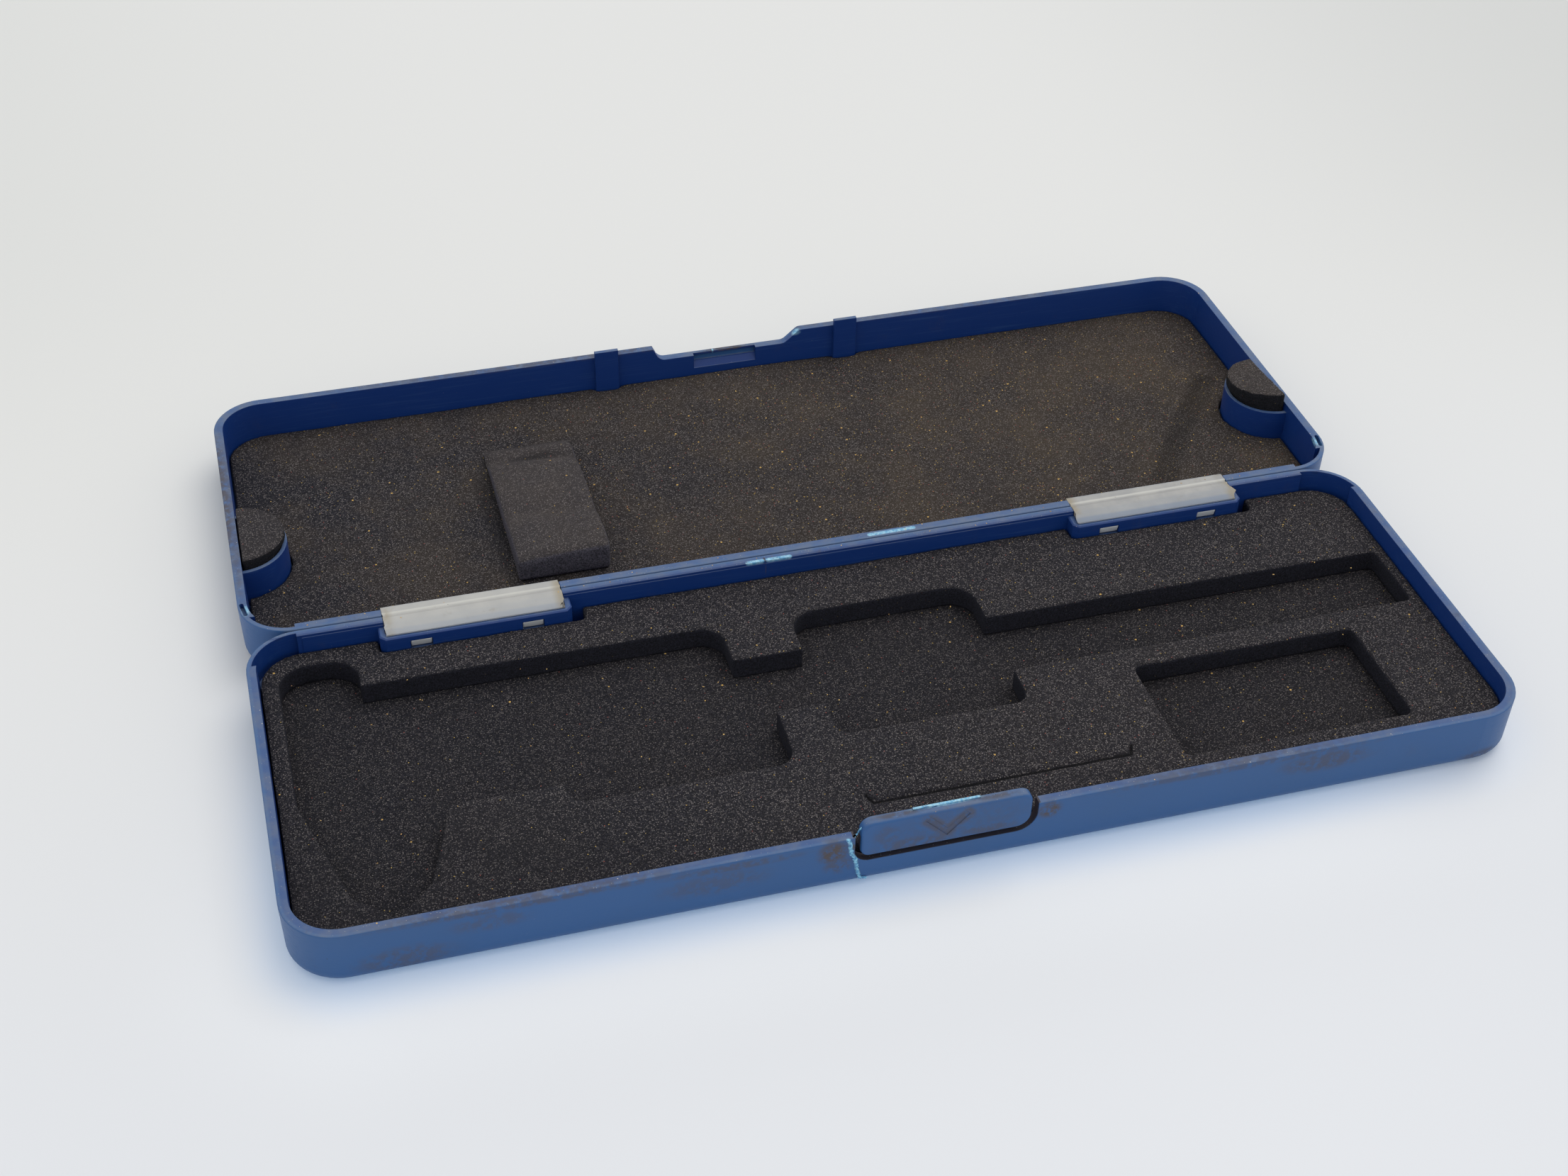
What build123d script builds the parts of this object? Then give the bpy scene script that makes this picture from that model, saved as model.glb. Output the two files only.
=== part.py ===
# Caliper case: two drafted plastic trays, a base and a lid, joined by two living hinge
# strips, with a push latch in the front wall and die-cut foam inside.
#
# The case is modelled open flat, with the lid behind the base. X runs along the case,
# Y from the latch side to the hinge side, Z up, and the origin is the centre of the
# base's underside. Sizes are in millimetres.

import os

from build123d import *

# The two trays
CASE_LENGTH = 250.0  # outside, at the rim
TRAY_DEPTH = 86.5  # outside, at the rim
TRAY_HEIGHT = 13.0
WALL = 2.0
FLOOR = 1.8
CORNER_RADIUS = 11.0
BOTTOM_RADIUS = 3.0  # outside, where a wall meets the floor
INNER_RADIUS = 0.4  # inside, where a wall meets the floor
RIM_RADIUS = 0.25
DRAFT = 1.0  # degrees, on every wall

# The hinge axis runs midway between the trays when open, and between the rims when shut
SEAM_GAP = 0.2
RIM_GAP = 0.2

# Rim cut thin round the corners on the hinge side, and the pits beside it in the lid
THIN_RIM = 1.0
THIN_RIM_DEPTH = 7.0
BASE_THIN_RIM_LENGTH = 9.1
LID_THIN_RIM_LENGTH = 6.4
PIT_TURN = 10.7  # degrees round the corner, from the end wall to the middle of the pit
PIT_LENGTH = 4.3
PIT_WIDTH = 0.9
PIT_DEPTH = 1.2

# Low step along the inside of the base's hinge wall
STEP_THICKNESS = 0.15
STEP_BELOW_RIM = 0.6

# Hinge strips. Each leaf lies on the rim and on the wall of its pocket, and its plug
# stands in the pocket. Depths are from the seam.
STRIP_LENGTH = 37.8
STRIP_FROM_END = 47.9  # end of the case to the middle of a strip
LEAF_THICKNESS = 1.0
LEAF_BELOW_RIM = 0.1
LEAF_EDGE_DROP = 0.6
CREASE_THICKNESS = 0.4
CREASE_TAPER = 0.8
CREASE_GAP = 0.05  # each leaf ends this far from the hinge axis
BASE_LEAF = 5.4
BASE_LEAF_SLOPE = 2.0  # run of the slope towards the leaf's edge
BASE_PLUG = 4.2
BASE_POCKET = 6.2
LID_LEAF = 3.1
LID_LEAF_SLOPE = 0.6
LID_PLUG = 2.5
LID_POCKET = 3.45
PLUG_THICKNESS = 1.1
PLUG_DEPTH = 3.9  # below the leaf
BARB_SPACING = 23.6
BARB_LENGTH = 4.4
BARB_HEIGHT = 2.0
BARB_SLOPE = 0.6  # share of a barb's height below its tip
BARB_BELOW_RIM = 3.75  # to the middle of a barb
BARB_INSET = 0.05  # behind the face of the pocket's wall
STRIP_CLEARANCE = 0.12
POCKET_END_WALL = 1.3
POCKET_CORNER_CHAMFER = 1.2
POCKET_TOP_CHAMFER = 0.3

# Latch tab in the base's front wall
LATCH_OFFSET = -0.45  # from the middle of the case
TAB_WIDTH = 34.3
TAB_RISE = 3.1  # above the rim
TAB_DROP = 5.55  # below the rim
TAB_TOP_RADIUS = 2.4
TAB_FOOT_RADIUS_LEFT = 1.8
TAB_FOOT_RADIUS_RIGHT = 3.0
TAB_EDGE_RADIUS = 0.7
TAB_SIDE_GAP = 1.25
TAB_BOTTOM_GAP = 1.1
WEB_THICKNESS = 0.5
WEB_INSET = 3.5
WEB_CLEARANCE = 0.1
SCAR_WIDTH = 13.5  # the ridge that is left where the hook has broken off
SCAR_THICKNESS = 0.6
SCAR_RISE = 0.25
ARROW_WIDTH = 8.0
ARROW_HEIGHT = 4.2
ARROW_STROKE = 1.3
ARROW_BELOW_TOP = 1.7
ARROW_DEPTH = 0.15

# Notch, catch and ribs in the lid's front wall
NOTCH_DEPTH = 3.3
NOTCH_LEFT_GAP = 0.9
NOTCH_RIGHT_GAP = 2.1
NOTCH_LEFT_RUN = 1.6
NOTCH_RIGHT_RUN = 3.9
NOTCH_RADIUS = 2.4
CATCH_OFFSET = -0.4  # from the middle of the case
CATCH_WIDTH = 15.8
CATCH_RECESS_DEPTH = 1.05
CATCH_RECESS_HEIGHT = 2.2  # below the notch
CATCH_RECESS_SLOPE = 1.4
CATCH_GROOVE_DEPTH = 0.5  # in the recess, for the hook
CATCH_GROOVE_HEIGHT = 1.4
CATCH_GROOVE_DROP = 0.6  # below the notch
RIB_SPACING = 60.8
RIB_WIDTH = 5.8
RIB_THICKNESS = 1.0
RIB_RISE = 2.0
RIB_CLEARANCE = 0.2

# Half-round posts against the lid's end walls, and their foam pads
POST_RADIUS = 10.4
POST_WALL = 0.9
POST_FROM_HINGE = 34.2
POST_BELOW_RIM = 1.9
PAD_CLEARANCE = 0.25
PAD_FOOT_CHAMFER = 0.5  # clears the rounding between wall and floor
PAD_RISE = 0.4  # above the rim
RIGHT_PAD_LIFT = 2.4  # more at the right pad's raised side

# Foam
SHEET_GAP = 0.35  # round the edge of a sheet
SHEET_FOOT_CHAMFER = 0.5  # clears the rounding between wall and floor
SHEET_RELIEF = 0.2  # round plastic that stands through a sheet
BASE_SHEET_THICKNESS = 2.0
LID_SHEET_THICKNESS = 2.8
INSERT_THICKNESS = 5.3
BASE_RELIEF_RIGHT = 2.5  # on the right of each pocket in the base
LATCH_RELIEF = 0.8  # behind the latch tab, which swings in
BLOCK_WIDTH = 20.7
BLOCK_DEPTH = 49.5
BLOCK_HEIGHT = 6.9
BLOCK_FROM_LEFT = 60.1
BLOCK_FROM_HINGE = 13.9
BLOCK_SHOULDER = (41.5, 3.7)  # from the end beside the hinge, and the height there
BLOCK_END_HEIGHT = 0.8

# Pockets in the base's foam
BEAM_WIDTH = 17.0
BEAM_FROM_HINGE = 27.3
BEAM_FROM_RIGHT = 4.8
JAW_FROM_LEFT = 6.0
JAW_FROM_HINGE = 6.8
JAW_TIP_FROM_FRONT = 5.8
JAW_WIDTH = 16.0
JAW_BACK_RADIUS = 6.0
JAW_TAPER_FROM_BEAM = 2.6
JAW_SHOULDER = (7.3, 7.2)  # from the jaw pocket's left side and from its tip
JAW_TIP = 14.8  # from the jaw pocket's left side
JAW_FAR_SHOULDER = (22.0, 7.0)
JAW_HEEL = (28.0, 0.6)  # the depth is in front of the body pocket
JAW_RIGHT = 32.0
JAW_TIP_RADIUS = 1.2
BEAM_INTO_JAW = 6.0
BEAM_RADIUS = 0.8
BODY_INTO_JAW = 9.0
BODY_LENGTH = 82.6
BODY_FROM_HINGE = 15.8
BODY_FRONT_DROP = 9.7  # in front of the beam pocket
BODY_CORNER_RADIUS = 5.0
WHEEL_FROM_LEFT = 57.0
WHEEL_LENGTH = 45.4
WHEEL_FRONT_DROP = 15.3
WHEEL_RADIUS = 4.0
GRIP_FROM_LEFT = 112.9
GRIP_LENGTH = 40.5
FRONT_GRIP_RADIUS = 2.8
BACK_GRIP_RADIUS = 5.5
SPARE_GAP = 24.8  # from the finger grips to the spare pocket
SPARE_FROM_RIGHT = 22.0
SPARE_FROM_FRONT = 9.2
SPARE_WEB = 5.8  # foam between the spare pocket and the beam pocket
SPARE_RADIUS = 1.0
SLIT_LENGTH = 55.5
SLIT_FROM_FRONT = 12.4
SLIT_RETURN = (0.8, 2.2)  # along the case and back from its front
SLIT_WIDTH = 0.5
SLIT_DEPTH = 1.5

# Lines and levels worked out from the sizes above
LEFT = -CASE_LENGTH / 2
RIGHT = CASE_LENGTH / 2
FRONT = -TRAY_DEPTH / 2
SEAM = TRAY_DEPTH / 2
LID_SEAM = SEAM + SEAM_GAP
LID_MIDDLE = LID_SEAM + TRAY_DEPTH / 2
LID_FRONT = LID_SEAM + TRAY_DEPTH
AXIS_Y = SEAM + SEAM_GAP / 2
RIM = TRAY_HEIGHT
STRIP_X = CASE_LENGTH / 2 - STRIP_FROM_END
LEAF_TOP = RIM - LEAF_BELOW_RIM
LEAF_UNDER = LEAF_TOP - LEAF_THICKNESS
PLUG_FOOT = LEAF_UNDER - PLUG_DEPTH
POCKET_TOP = LEAF_UNDER - STRIP_CLEARANCE
BASE_SHEET_TOP = FLOOR + BASE_SHEET_THICKNESS
LID_SHEET_TOP = FLOOR + LID_SHEET_THICKNESS
INSERT_TOP = BASE_SHEET_TOP + INSERT_THICKNESS
BEAM_BACK = SEAM - BEAM_FROM_HINGE
BEAM_FRONT = BEAM_BACK - BEAM_WIDTH
TAB_TOP = RIM + TAB_RISE
TAB_FOOT = RIM - TAB_DROP
SILL = TAB_FOOT - TAB_BOTTOM_GAP
TAB_LEFT = LATCH_OFFSET - TAB_WIDTH / 2
TAB_RIGHT = LATCH_OFFSET + TAB_WIDTH / 2
NOTCH_FLOOR = RIM - NOTCH_DEPTH
RECESS_FOOT = NOTCH_FLOOR - CATCH_RECESS_HEIGHT
GROOVE_TOP = NOTCH_FLOOR - CATCH_GROOVE_DROP
OVERCUT = 4.0  # how far a cut runs on past the plastic it goes through
LAP = 1.0  # how far a cut or a wall runs on into what it meets


def block(x_range, y_range, z_range, mode=Mode.ADD):
    """Adds or cuts a box between three pairs of planes."""
    (x0, x1), (y0, y1), (z0, z1) = sorted(x_range), sorted(y_range), sorted(z_range)
    with Locations(((x0 + x1) / 2, (y0 + y1) / 2, (z0 + z1) / 2)):
        Box(x1 - x0, y1 - y0, z1 - z0, mode=mode)


def rounded(x_range, y_range, radius):
    """Adds a rounded rectangle to the sketch in hand."""
    (x0, x1), (y0, y1) = sorted(x_range), sorted(y_range)
    with Locations(((x0 + x1) / 2, (y0 + y1) / 2)):
        RectangleRounded(x1 - x0, y1 - y0, radius)


def tray(middle_y):
    """An open tray with drafted walls, its rim up."""
    rim_plane = Plane((0, middle_y, RIM), x_dir=(1, 0, 0), z_dir=(0, 0, -1))
    with BuildPart() as shell:
        with BuildSketch(rim_plane):
            RectangleRounded(CASE_LENGTH, TRAY_DEPTH, CORNER_RADIUS)
        extrude(amount=TRAY_HEIGHT, taper=DRAFT)
        fillet(shell.faces().sort_by(Axis.Z)[0].edges(), BOTTOM_RADIUS)
        fillet(shell.faces().sort_by(Axis.Z)[-1].edges(), RIM_RADIUS)
        with BuildSketch(rim_plane):
            RectangleRounded(
                CASE_LENGTH - 2 * WALL, TRAY_DEPTH - 2 * WALL, CORNER_RADIUS - WALL
            )
        extrude(amount=TRAY_HEIGHT - FLOOR, taper=DRAFT, mode=Mode.SUBTRACT)
        levels = shell.faces().filter_by(GeomType.PLANE).filter_by(Axis.Z).group_by(Axis.Z)
        fillet(levels[1].edges(), INNER_RADIUS)
    return shell.part


def cut_thin_rim(middle_y, seam_y, inward, length):
    """Thins the wall from inside, round the two corners beside the hinge."""
    with BuildSketch(Plane((0, middle_y, RIM))) as corners:
        for side in (-1, 1):
            with Locations((side * (RIGHT - CORNER_RADIUS / 2),
                            seam_y + inward * length / 2 - middle_y)):
                Rectangle(CORNER_RADIUS, length)
        RectangleRounded(
            CASE_LENGTH - 2 * THIN_RIM, TRAY_DEPTH - 2 * THIN_RIM, CORNER_RADIUS - THIN_RIM,
            mode=Mode.INTERSECT,
        )
    extrude(corners.sketch, amount=-THIN_RIM_DEPTH, mode=Mode.SUBTRACT)


def add_hinge_pocket(x, seam_y, inward, plug, depth):
    """A walled pocket behind the hinge wall that takes the plug of one leaf."""
    half = STRIP_LENGTH / 2 + STRIP_CLEARANCE
    outside = half + POCKET_END_WALL
    face = seam_y + inward * depth
    plug_face = seam_y + inward * plug
    buried = seam_y + inward * WALL / 2
    chamfered = min(POCKET_CORNER_CHAMFER, (depth - WALL) / 2)

    # Walls, filled for now, with chamfered corners and a chamfered top
    with BuildPart() as walls:
        with BuildSketch(Plane.XY.offset(FLOOR / 2)):
            with BuildLine():
                Polyline(
                    (x - outside, buried), (x - outside, face - inward * chamfered),
                    (x - outside + chamfered, face), (x + outside - chamfered, face),
                    (x + outside, face - inward * chamfered), (x + outside, buried), close=True,
                )
            make_face()
        extrude(amount=POCKET_TOP - FLOOR / 2)
        top_edges = walls.faces().sort_by(Axis.Z)[-1].edges()
        chamfer(top_edges.filter_by(lambda edge: abs(edge.center().Y - buried) > chamfered / 2),
                POCKET_TOP_CHAMFER)
    add(walls.part)

    # Room for the leaf on the rim, and for its plug behind the pocket's wall
    block((x - half, x + half), (seam_y - inward * OVERCUT, face + inward * OVERCUT),
          (POCKET_TOP, RIM + OVERCUT), Mode.SUBTRACT)
    block((x - half, x + half),
          (plug_face + inward * STRIP_CLEARANCE,
           plug_face - inward * (PLUG_THICKNESS + STRIP_CLEARANCE)),
          (PLUG_FOOT - STRIP_CLEARANCE, RIM), Mode.SUBTRACT)

    # Windows for the barbs
    half_window = BARB_LENGTH / 2 + STRIP_CLEARANCE
    half_height = BARB_HEIGHT / 2 + STRIP_CLEARANCE
    middle = RIM - BARB_BELOW_RIM
    for barb_x in (x - BARB_SPACING / 2, x + BARB_SPACING / 2):
        block((barb_x - half_window, barb_x + half_window), (plug_face, face + inward * LAP),
              (middle - half_height, middle + half_height), Mode.SUBTRACT)


def hinge_leaf(x, seam_y, inward, leaf, slope, plug, depth):
    """One leaf of a hinge strip: plate, plug and two barbs."""
    crease = AXIS_Y + inward * CREASE_GAP
    edge = seam_y + inward * leaf
    plug_face = seam_y + inward * plug
    plug_back = plug_face - inward * PLUG_THICKNESS
    tip = seam_y + inward * (depth - BARB_INSET)
    with BuildPart() as piece:
        with BuildSketch(Plane.YZ.offset(x)):
            with BuildLine():
                Polyline(
                    (crease, LEAF_TOP), (edge - inward * slope, LEAF_TOP),
                    (edge, LEAF_TOP - LEAF_EDGE_DROP), (edge, LEAF_UNDER),
                    (plug_face, LEAF_UNDER), (plug_face, PLUG_FOOT), (plug_back, PLUG_FOOT),
                    (plug_back, LEAF_UNDER), (AXIS_Y + inward * CREASE_TAPER, LEAF_UNDER),
                    (crease, LEAF_TOP - CREASE_THICKNESS), close=True,
                )
            make_face()
        extrude(amount=STRIP_LENGTH / 2, both=True)
        top = RIM - BARB_BELOW_RIM + BARB_HEIGHT / 2
        foot = top - BARB_HEIGHT
        inside = plug_face - inward * PLUG_THICKNESS / 2
        for barb_x in (x - BARB_SPACING / 2, x + BARB_SPACING / 2):
            with BuildSketch(Plane.YZ.offset(barb_x)):
                with BuildLine():
                    Polyline(
                        (inside, top), (tip, top), (tip, foot + BARB_HEIGHT * BARB_SLOPE),
                        (plug_face, foot), (inside, foot), close=True,
                    )
                make_face()
            extrude(amount=BARB_LENGTH / 2, both=True)
    return piece.part


def round_foot(gap):
    """Rounds the lower corners of the latch tab's outline, which is wider by a gap."""
    for place, radius in ((0, TAB_FOOT_RADIUS_LEFT), (1, TAB_FOOT_RADIUS_RIGHT)):
        fillet(vertices().group_by(Axis.Y)[0].sort_by(Axis.X)[-place], radius + gap)


def foam_sheet(middle_y, seam_y, inward, pocket_depth, foot, thickness, on_floor, right_relief):
    """A sheet of foam that fills a tray, cut away round the two hinge pockets."""
    edge = WALL + SHEET_GAP
    pocket_half = STRIP_LENGTH / 2 + STRIP_CLEARANCE + POCKET_END_WALL
    with BuildPart() as sheet:
        with BuildSketch(Plane((0, middle_y, foot))):
            RectangleRounded(
                CASE_LENGTH - 2 * edge, TRAY_DEPTH - 2 * edge, CORNER_RADIUS - edge
            )
        extrude(amount=thickness)
        if on_floor:
            chamfer(sheet.faces().sort_by(Axis.Z)[0].edges(), SHEET_FOOT_CHAMFER)
        for x in (-STRIP_X, STRIP_X):
            block((x - pocket_half - SHEET_RELIEF, x + pocket_half + right_relief),
                  (seam_y, seam_y + inward * (pocket_depth + SHEET_RELIEF)),
                  (foot - LAP, foot + thickness + LAP), Mode.SUBTRACT)
    return sheet.part


# Base
with BuildPart() as base_shell:
    add(tray(0))
    cut_thin_rim(0, SEAM, -1, BASE_THIN_RIM_LENGTH)

    # Step along the hinge wall, from the left corner to the right hinge pocket
    block((LEFT + CORNER_RADIUS + LAP, STRIP_X),
          (SEAM - WALL / 2, SEAM - WALL - STEP_THICKNESS),
          (FLOOR / 2, RIM - STEP_BELOW_RIM))

    for x in (-STRIP_X, STRIP_X):
        add_hinge_pocket(x, SEAM, -1, BASE_PLUG, BASE_POCKET)

    # Opening for the latch tab
    with BuildSketch(Plane.XZ.offset(-FRONT - WALL - LAP)):
        with Locations((LATCH_OFFSET, (SILL + RIM + OVERCUT) / 2)):
            Rectangle(TAB_WIDTH + 2 * TAB_SIDE_GAP, RIM + OVERCUT - SILL)
        round_foot(TAB_SIDE_GAP)
    extrude(amount=WALL + 2 * LAP, mode=Mode.SUBTRACT)
base_shell.part.label = "base_shell"

with BuildPart() as base_foam_backing:
    add(foam_sheet(0, SEAM, -1, BASE_POCKET, FLOOR, BASE_SHEET_THICKNESS, True,
                   BASE_RELIEF_RIGHT))
base_foam_backing.part.label = "base_foam_backing"

# The upper sheet of the base's foam, cut right through for the tool and the fingers
jaw_left = LEFT + JAW_FROM_LEFT
jaw_tip = FRONT + JAW_TIP_FROM_FRONT
body_left = jaw_left + BODY_INTO_JAW
body_front = BEAM_FRONT - BODY_FRONT_DROP
body_back = SEAM - BODY_FROM_HINGE
grip_left = LEFT + GRIP_FROM_LEFT
spare_left = grip_left + GRIP_LENGTH + SPARE_GAP
slit_y = FRONT + SLIT_FROM_FRONT
slit_right = grip_left + SLIT_LENGTH
with BuildPart() as base_foam_insert:
    add(foam_sheet(0, SEAM, -1, BASE_POCKET, BASE_SHEET_TOP, INSERT_THICKNESS, False,
                   BASE_RELIEF_RIGHT))
    with BuildSketch(Plane.XY.offset(INSERT_TOP)):
        # Jaws that point to the front, tapering to the tips
        with BuildLine():
            Polyline(
                (jaw_left, BEAM_BACK), (jaw_left, BEAM_FRONT - JAW_TAPER_FROM_BEAM),
                (jaw_left + JAW_SHOULDER[0], jaw_tip + JAW_SHOULDER[1]),
                (jaw_left + JAW_TIP, jaw_tip),
                (jaw_left + JAW_FAR_SHOULDER[0], jaw_tip + JAW_FAR_SHOULDER[1]),
                (jaw_left + JAW_HEEL[0], body_front - JAW_HEEL[1]),
                (jaw_left + JAW_RIGHT, body_front), (jaw_left + JAW_RIGHT, BEAM_BACK),
                close=True,
            )
        make_face()
        fillet(vertices().group_by(Axis.Y)[0], JAW_TIP_RADIUS)
        # Jaws that point to the hinge
        rounded((jaw_left, jaw_left + JAW_WIDTH), (BEAM_FRONT, SEAM - JAW_FROM_HINGE),
                JAW_BACK_RADIUS)
        # Beam
        rounded((jaw_left + BEAM_INTO_JAW, RIGHT - BEAM_FROM_RIGHT), (BEAM_FRONT, BEAM_BACK),
                BEAM_RADIUS)
        # Body, and the thumb wheel in front of it
        rounded((body_left, body_left + BODY_LENGTH),
                (body_front, body_back), BODY_CORNER_RADIUS)
        rounded((LEFT + WHEEL_FROM_LEFT, LEFT + WHEEL_FROM_LEFT + WHEEL_LENGTH),
                (BEAM_FRONT - WHEEL_FRONT_DROP, BEAM_BACK - LAP), WHEEL_RADIUS)
        # Finger grips on both sides of the beam
        rounded((grip_left, grip_left + GRIP_LENGTH), (body_front, BEAM_BACK - LAP),
                FRONT_GRIP_RADIUS)
        rounded((grip_left, grip_left + GRIP_LENGTH), (BEAM_FRONT + LAP, body_back),
                BACK_GRIP_RADIUS)
        # Spare pocket
        rounded((spare_left, RIGHT - SPARE_FROM_RIGHT),
                (FRONT + SPARE_FROM_FRONT, BEAM_FRONT - SPARE_WEB), SPARE_RADIUS)
    extrude(amount=-INSERT_THICKNESS, mode=Mode.SUBTRACT)

    # Slit near the front edge, turned back at both ends
    with BuildSketch(Plane.XY.offset(INSERT_TOP)):
        with BuildLine():
            Polyline(
                (grip_left, slit_y + SLIT_RETURN[1]), (grip_left + SLIT_RETURN[0], slit_y),
                (slit_right - SLIT_RETURN[0], slit_y), (slit_right, slit_y + SLIT_RETURN[1]),
            )
        trace(line_width=SLIT_WIDTH)
    extrude(amount=-SLIT_DEPTH, mode=Mode.SUBTRACT)

    # Room for the latch tab to swing in
    block((TAB_LEFT - TAB_SIDE_GAP, TAB_RIGHT + TAB_SIDE_GAP), (FRONT, FRONT + WALL + LATCH_RELIEF),
          (BASE_SHEET_TOP - LAP, INSERT_TOP + LAP), Mode.SUBTRACT)
base_foam_insert.part.label = "base_foam_insert"

# Latch tab, with the film web at its foot and the scar of its hook on its top
with BuildPart() as latch_tab:
    with BuildSketch(Plane.XZ.offset(-FRONT - WALL)):
        with Locations((LATCH_OFFSET, (TAB_FOOT + TAB_TOP) / 2)):
            Rectangle(TAB_WIDTH, TAB_TOP - TAB_FOOT)
        fillet(vertices().group_by(Axis.Y)[-1], TAB_TOP_RADIUS)
        round_foot(0)
    extrude(amount=WALL)
    fillet(latch_tab.faces().sort_by(Axis.Y)[0].edges(), TAB_EDGE_RADIUS)

    # Arrow pressed into the face, pointing down
    with BuildSketch(Plane.XZ.offset(-FRONT)):
        arrow_top = TAB_TOP - ARROW_BELOW_TOP
        with BuildLine():
            Polyline(
                (LATCH_OFFSET - ARROW_WIDTH / 2, arrow_top),
                (LATCH_OFFSET, arrow_top - ARROW_HEIGHT),
                (LATCH_OFFSET + ARROW_WIDTH / 2, arrow_top),
            )
        trace(line_width=ARROW_STROKE)
    extrude(amount=-ARROW_DEPTH, mode=Mode.SUBTRACT)

    block((TAB_LEFT + WEB_INSET, TAB_RIGHT - WEB_INSET),
          (FRONT + WALL - WEB_THICKNESS, FRONT + WALL), (SILL + WEB_CLEARANCE, TAB_FOOT + LAP))

    block((LATCH_OFFSET - SCAR_WIDTH / 2, LATCH_OFFSET + SCAR_WIDTH / 2),
          (FRONT + WALL - SCAR_THICKNESS, FRONT + WALL), (TAB_TOP - LAP, TAB_TOP + SCAR_RISE))
latch_tab.part.label = "latch_tab"

# Lid
lid_wall_face = LID_FRONT - WALL
post_y = LID_SEAM + POST_FROM_HINGE
with BuildPart() as lid_shell:
    add(tray(LID_MIDDLE))
    cut_thin_rim(LID_MIDDLE, LID_SEAM, 1, LID_THIN_RIM_LENGTH)
    with BuildSketch(Plane.XY.offset(RIM)):
        for side, turn in ((-1, 180 + PIT_TURN), (1, -PIT_TURN)):
            with Locations((side * (RIGHT - CORNER_RADIUS), LID_SEAM + CORNER_RADIUS)):
                with PolarLocations(CORNER_RADIUS - WALL / 2, 1, start_angle=turn):
                    SlotOverall(PIT_LENGTH, PIT_WIDTH, rotation=90)
    extrude(amount=-PIT_DEPTH, mode=Mode.SUBTRACT)
    for x in (-STRIP_X, STRIP_X):
        add_hinge_pocket(x, LID_SEAM, 1, LID_PLUG, LID_POCKET)

    # Half-round posts
    with BuildSketch(Plane((0, post_y, FLOOR / 2))) as posts:
        with Locations((LEFT + WALL, 0), (RIGHT - WALL, 0)):
            Circle(POST_RADIUS)
            Circle(POST_RADIUS - POST_WALL, mode=Mode.SUBTRACT)
        Rectangle(CASE_LENGTH - WALL, 3 * POST_RADIUS, mode=Mode.INTERSECT)
    extrude(amount=RIM - POST_BELOW_RIM - FLOOR / 2)

    # Ribs that stand above the rim and locate the front wall of the base
    for x in (-RIB_SPACING / 2, RIB_SPACING / 2):
        rib_x = (x - RIB_WIDTH / 2, x + RIB_WIDTH / 2)
        rib_outside = lid_wall_face - RIB_CLEARANCE
        block(rib_x, (rib_outside - RIB_THICKNESS, rib_outside), (FLOOR / 2, RIM + RIB_RISE))
        block(rib_x, (rib_outside - RIB_THICKNESS / 2, LID_FRONT - WALL / 2),
              (FLOOR / 2, RIM - RIM_RADIUS))

    # Notch that the latch tab enters, steeper on the left than on the right
    notch_left = TAB_LEFT - NOTCH_LEFT_GAP
    notch_right = TAB_RIGHT + NOTCH_RIGHT_GAP
    with BuildSketch(Plane.XZ.offset(-LID_FRONT - LAP)):
        with BuildLine():
            Polyline(
                (notch_left, RIM + OVERCUT), (notch_left, RIM),
                (notch_left + NOTCH_LEFT_RUN, NOTCH_FLOOR),
                (notch_right - NOTCH_RIGHT_RUN, NOTCH_FLOOR), (notch_right, RIM),
                (notch_right + 2 * NOTCH_RADIUS, RIM),
                (notch_right + 2 * NOTCH_RADIUS, RIM + OVERCUT), close=True,
            )
        make_face()
        fillet(vertices().group_by(Axis.Y)[0], NOTCH_RADIUS)
        fillet(vertices().sort_by_distance((notch_right, RIM))[0], NOTCH_RADIUS)
    extrude(amount=WALL + 2 * LAP, mode=Mode.SUBTRACT)

    # Recess inside the wall for the hook, its foot sloped, with a groove that catches it
    recess_face = lid_wall_face + CATCH_RECESS_DEPTH
    with BuildSketch(Plane.YZ.offset(CATCH_OFFSET)):
        with BuildLine():
            Polyline(
                (lid_wall_face - LAP, RIM), (recess_face, RIM), (recess_face, RECESS_FOOT),
                (lid_wall_face, RECESS_FOOT - CATCH_RECESS_SLOPE),
                (lid_wall_face - LAP, RECESS_FOOT - CATCH_RECESS_SLOPE), close=True,
            )
        make_face()
    extrude(amount=CATCH_WIDTH / 2, both=True, mode=Mode.SUBTRACT)
    block((CATCH_OFFSET - CATCH_WIDTH / 2, CATCH_OFFSET + CATCH_WIDTH / 2),
          (lid_wall_face, recess_face + CATCH_GROOVE_DEPTH),
          (GROOVE_TOP - CATCH_GROOVE_HEIGHT, GROOVE_TOP), Mode.SUBTRACT)
lid_shell.part.label = "lid_shell"

with BuildPart() as lid_foam_sheet:
    add(foam_sheet(LID_MIDDLE, LID_SEAM, 1, LID_POCKET, FLOOR, LID_SHEET_THICKNESS, True,
                   SHEET_RELIEF))
    for x in (LEFT + WALL, RIGHT - WALL):
        with Locations((x, post_y, FLOOR + LID_SHEET_THICKNESS / 2)):
            Cylinder(POST_RADIUS + SHEET_RELIEF, LID_SHEET_THICKNESS + 2 * LAP, mode=Mode.SUBTRACT)
    for x in (-RIB_SPACING / 2, RIB_SPACING / 2):
        half_relief = RIB_WIDTH / 2 + SHEET_RELIEF
        block((x - half_relief, x + half_relief),
              (LID_FRONT, lid_wall_face - RIB_CLEARANCE - RIB_THICKNESS - SHEET_RELIEF),
              (FLOOR - LAP, LID_SHEET_TOP + LAP), Mode.SUBTRACT)
lid_foam_sheet.part.label = "lid_foam_sheet"

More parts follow.
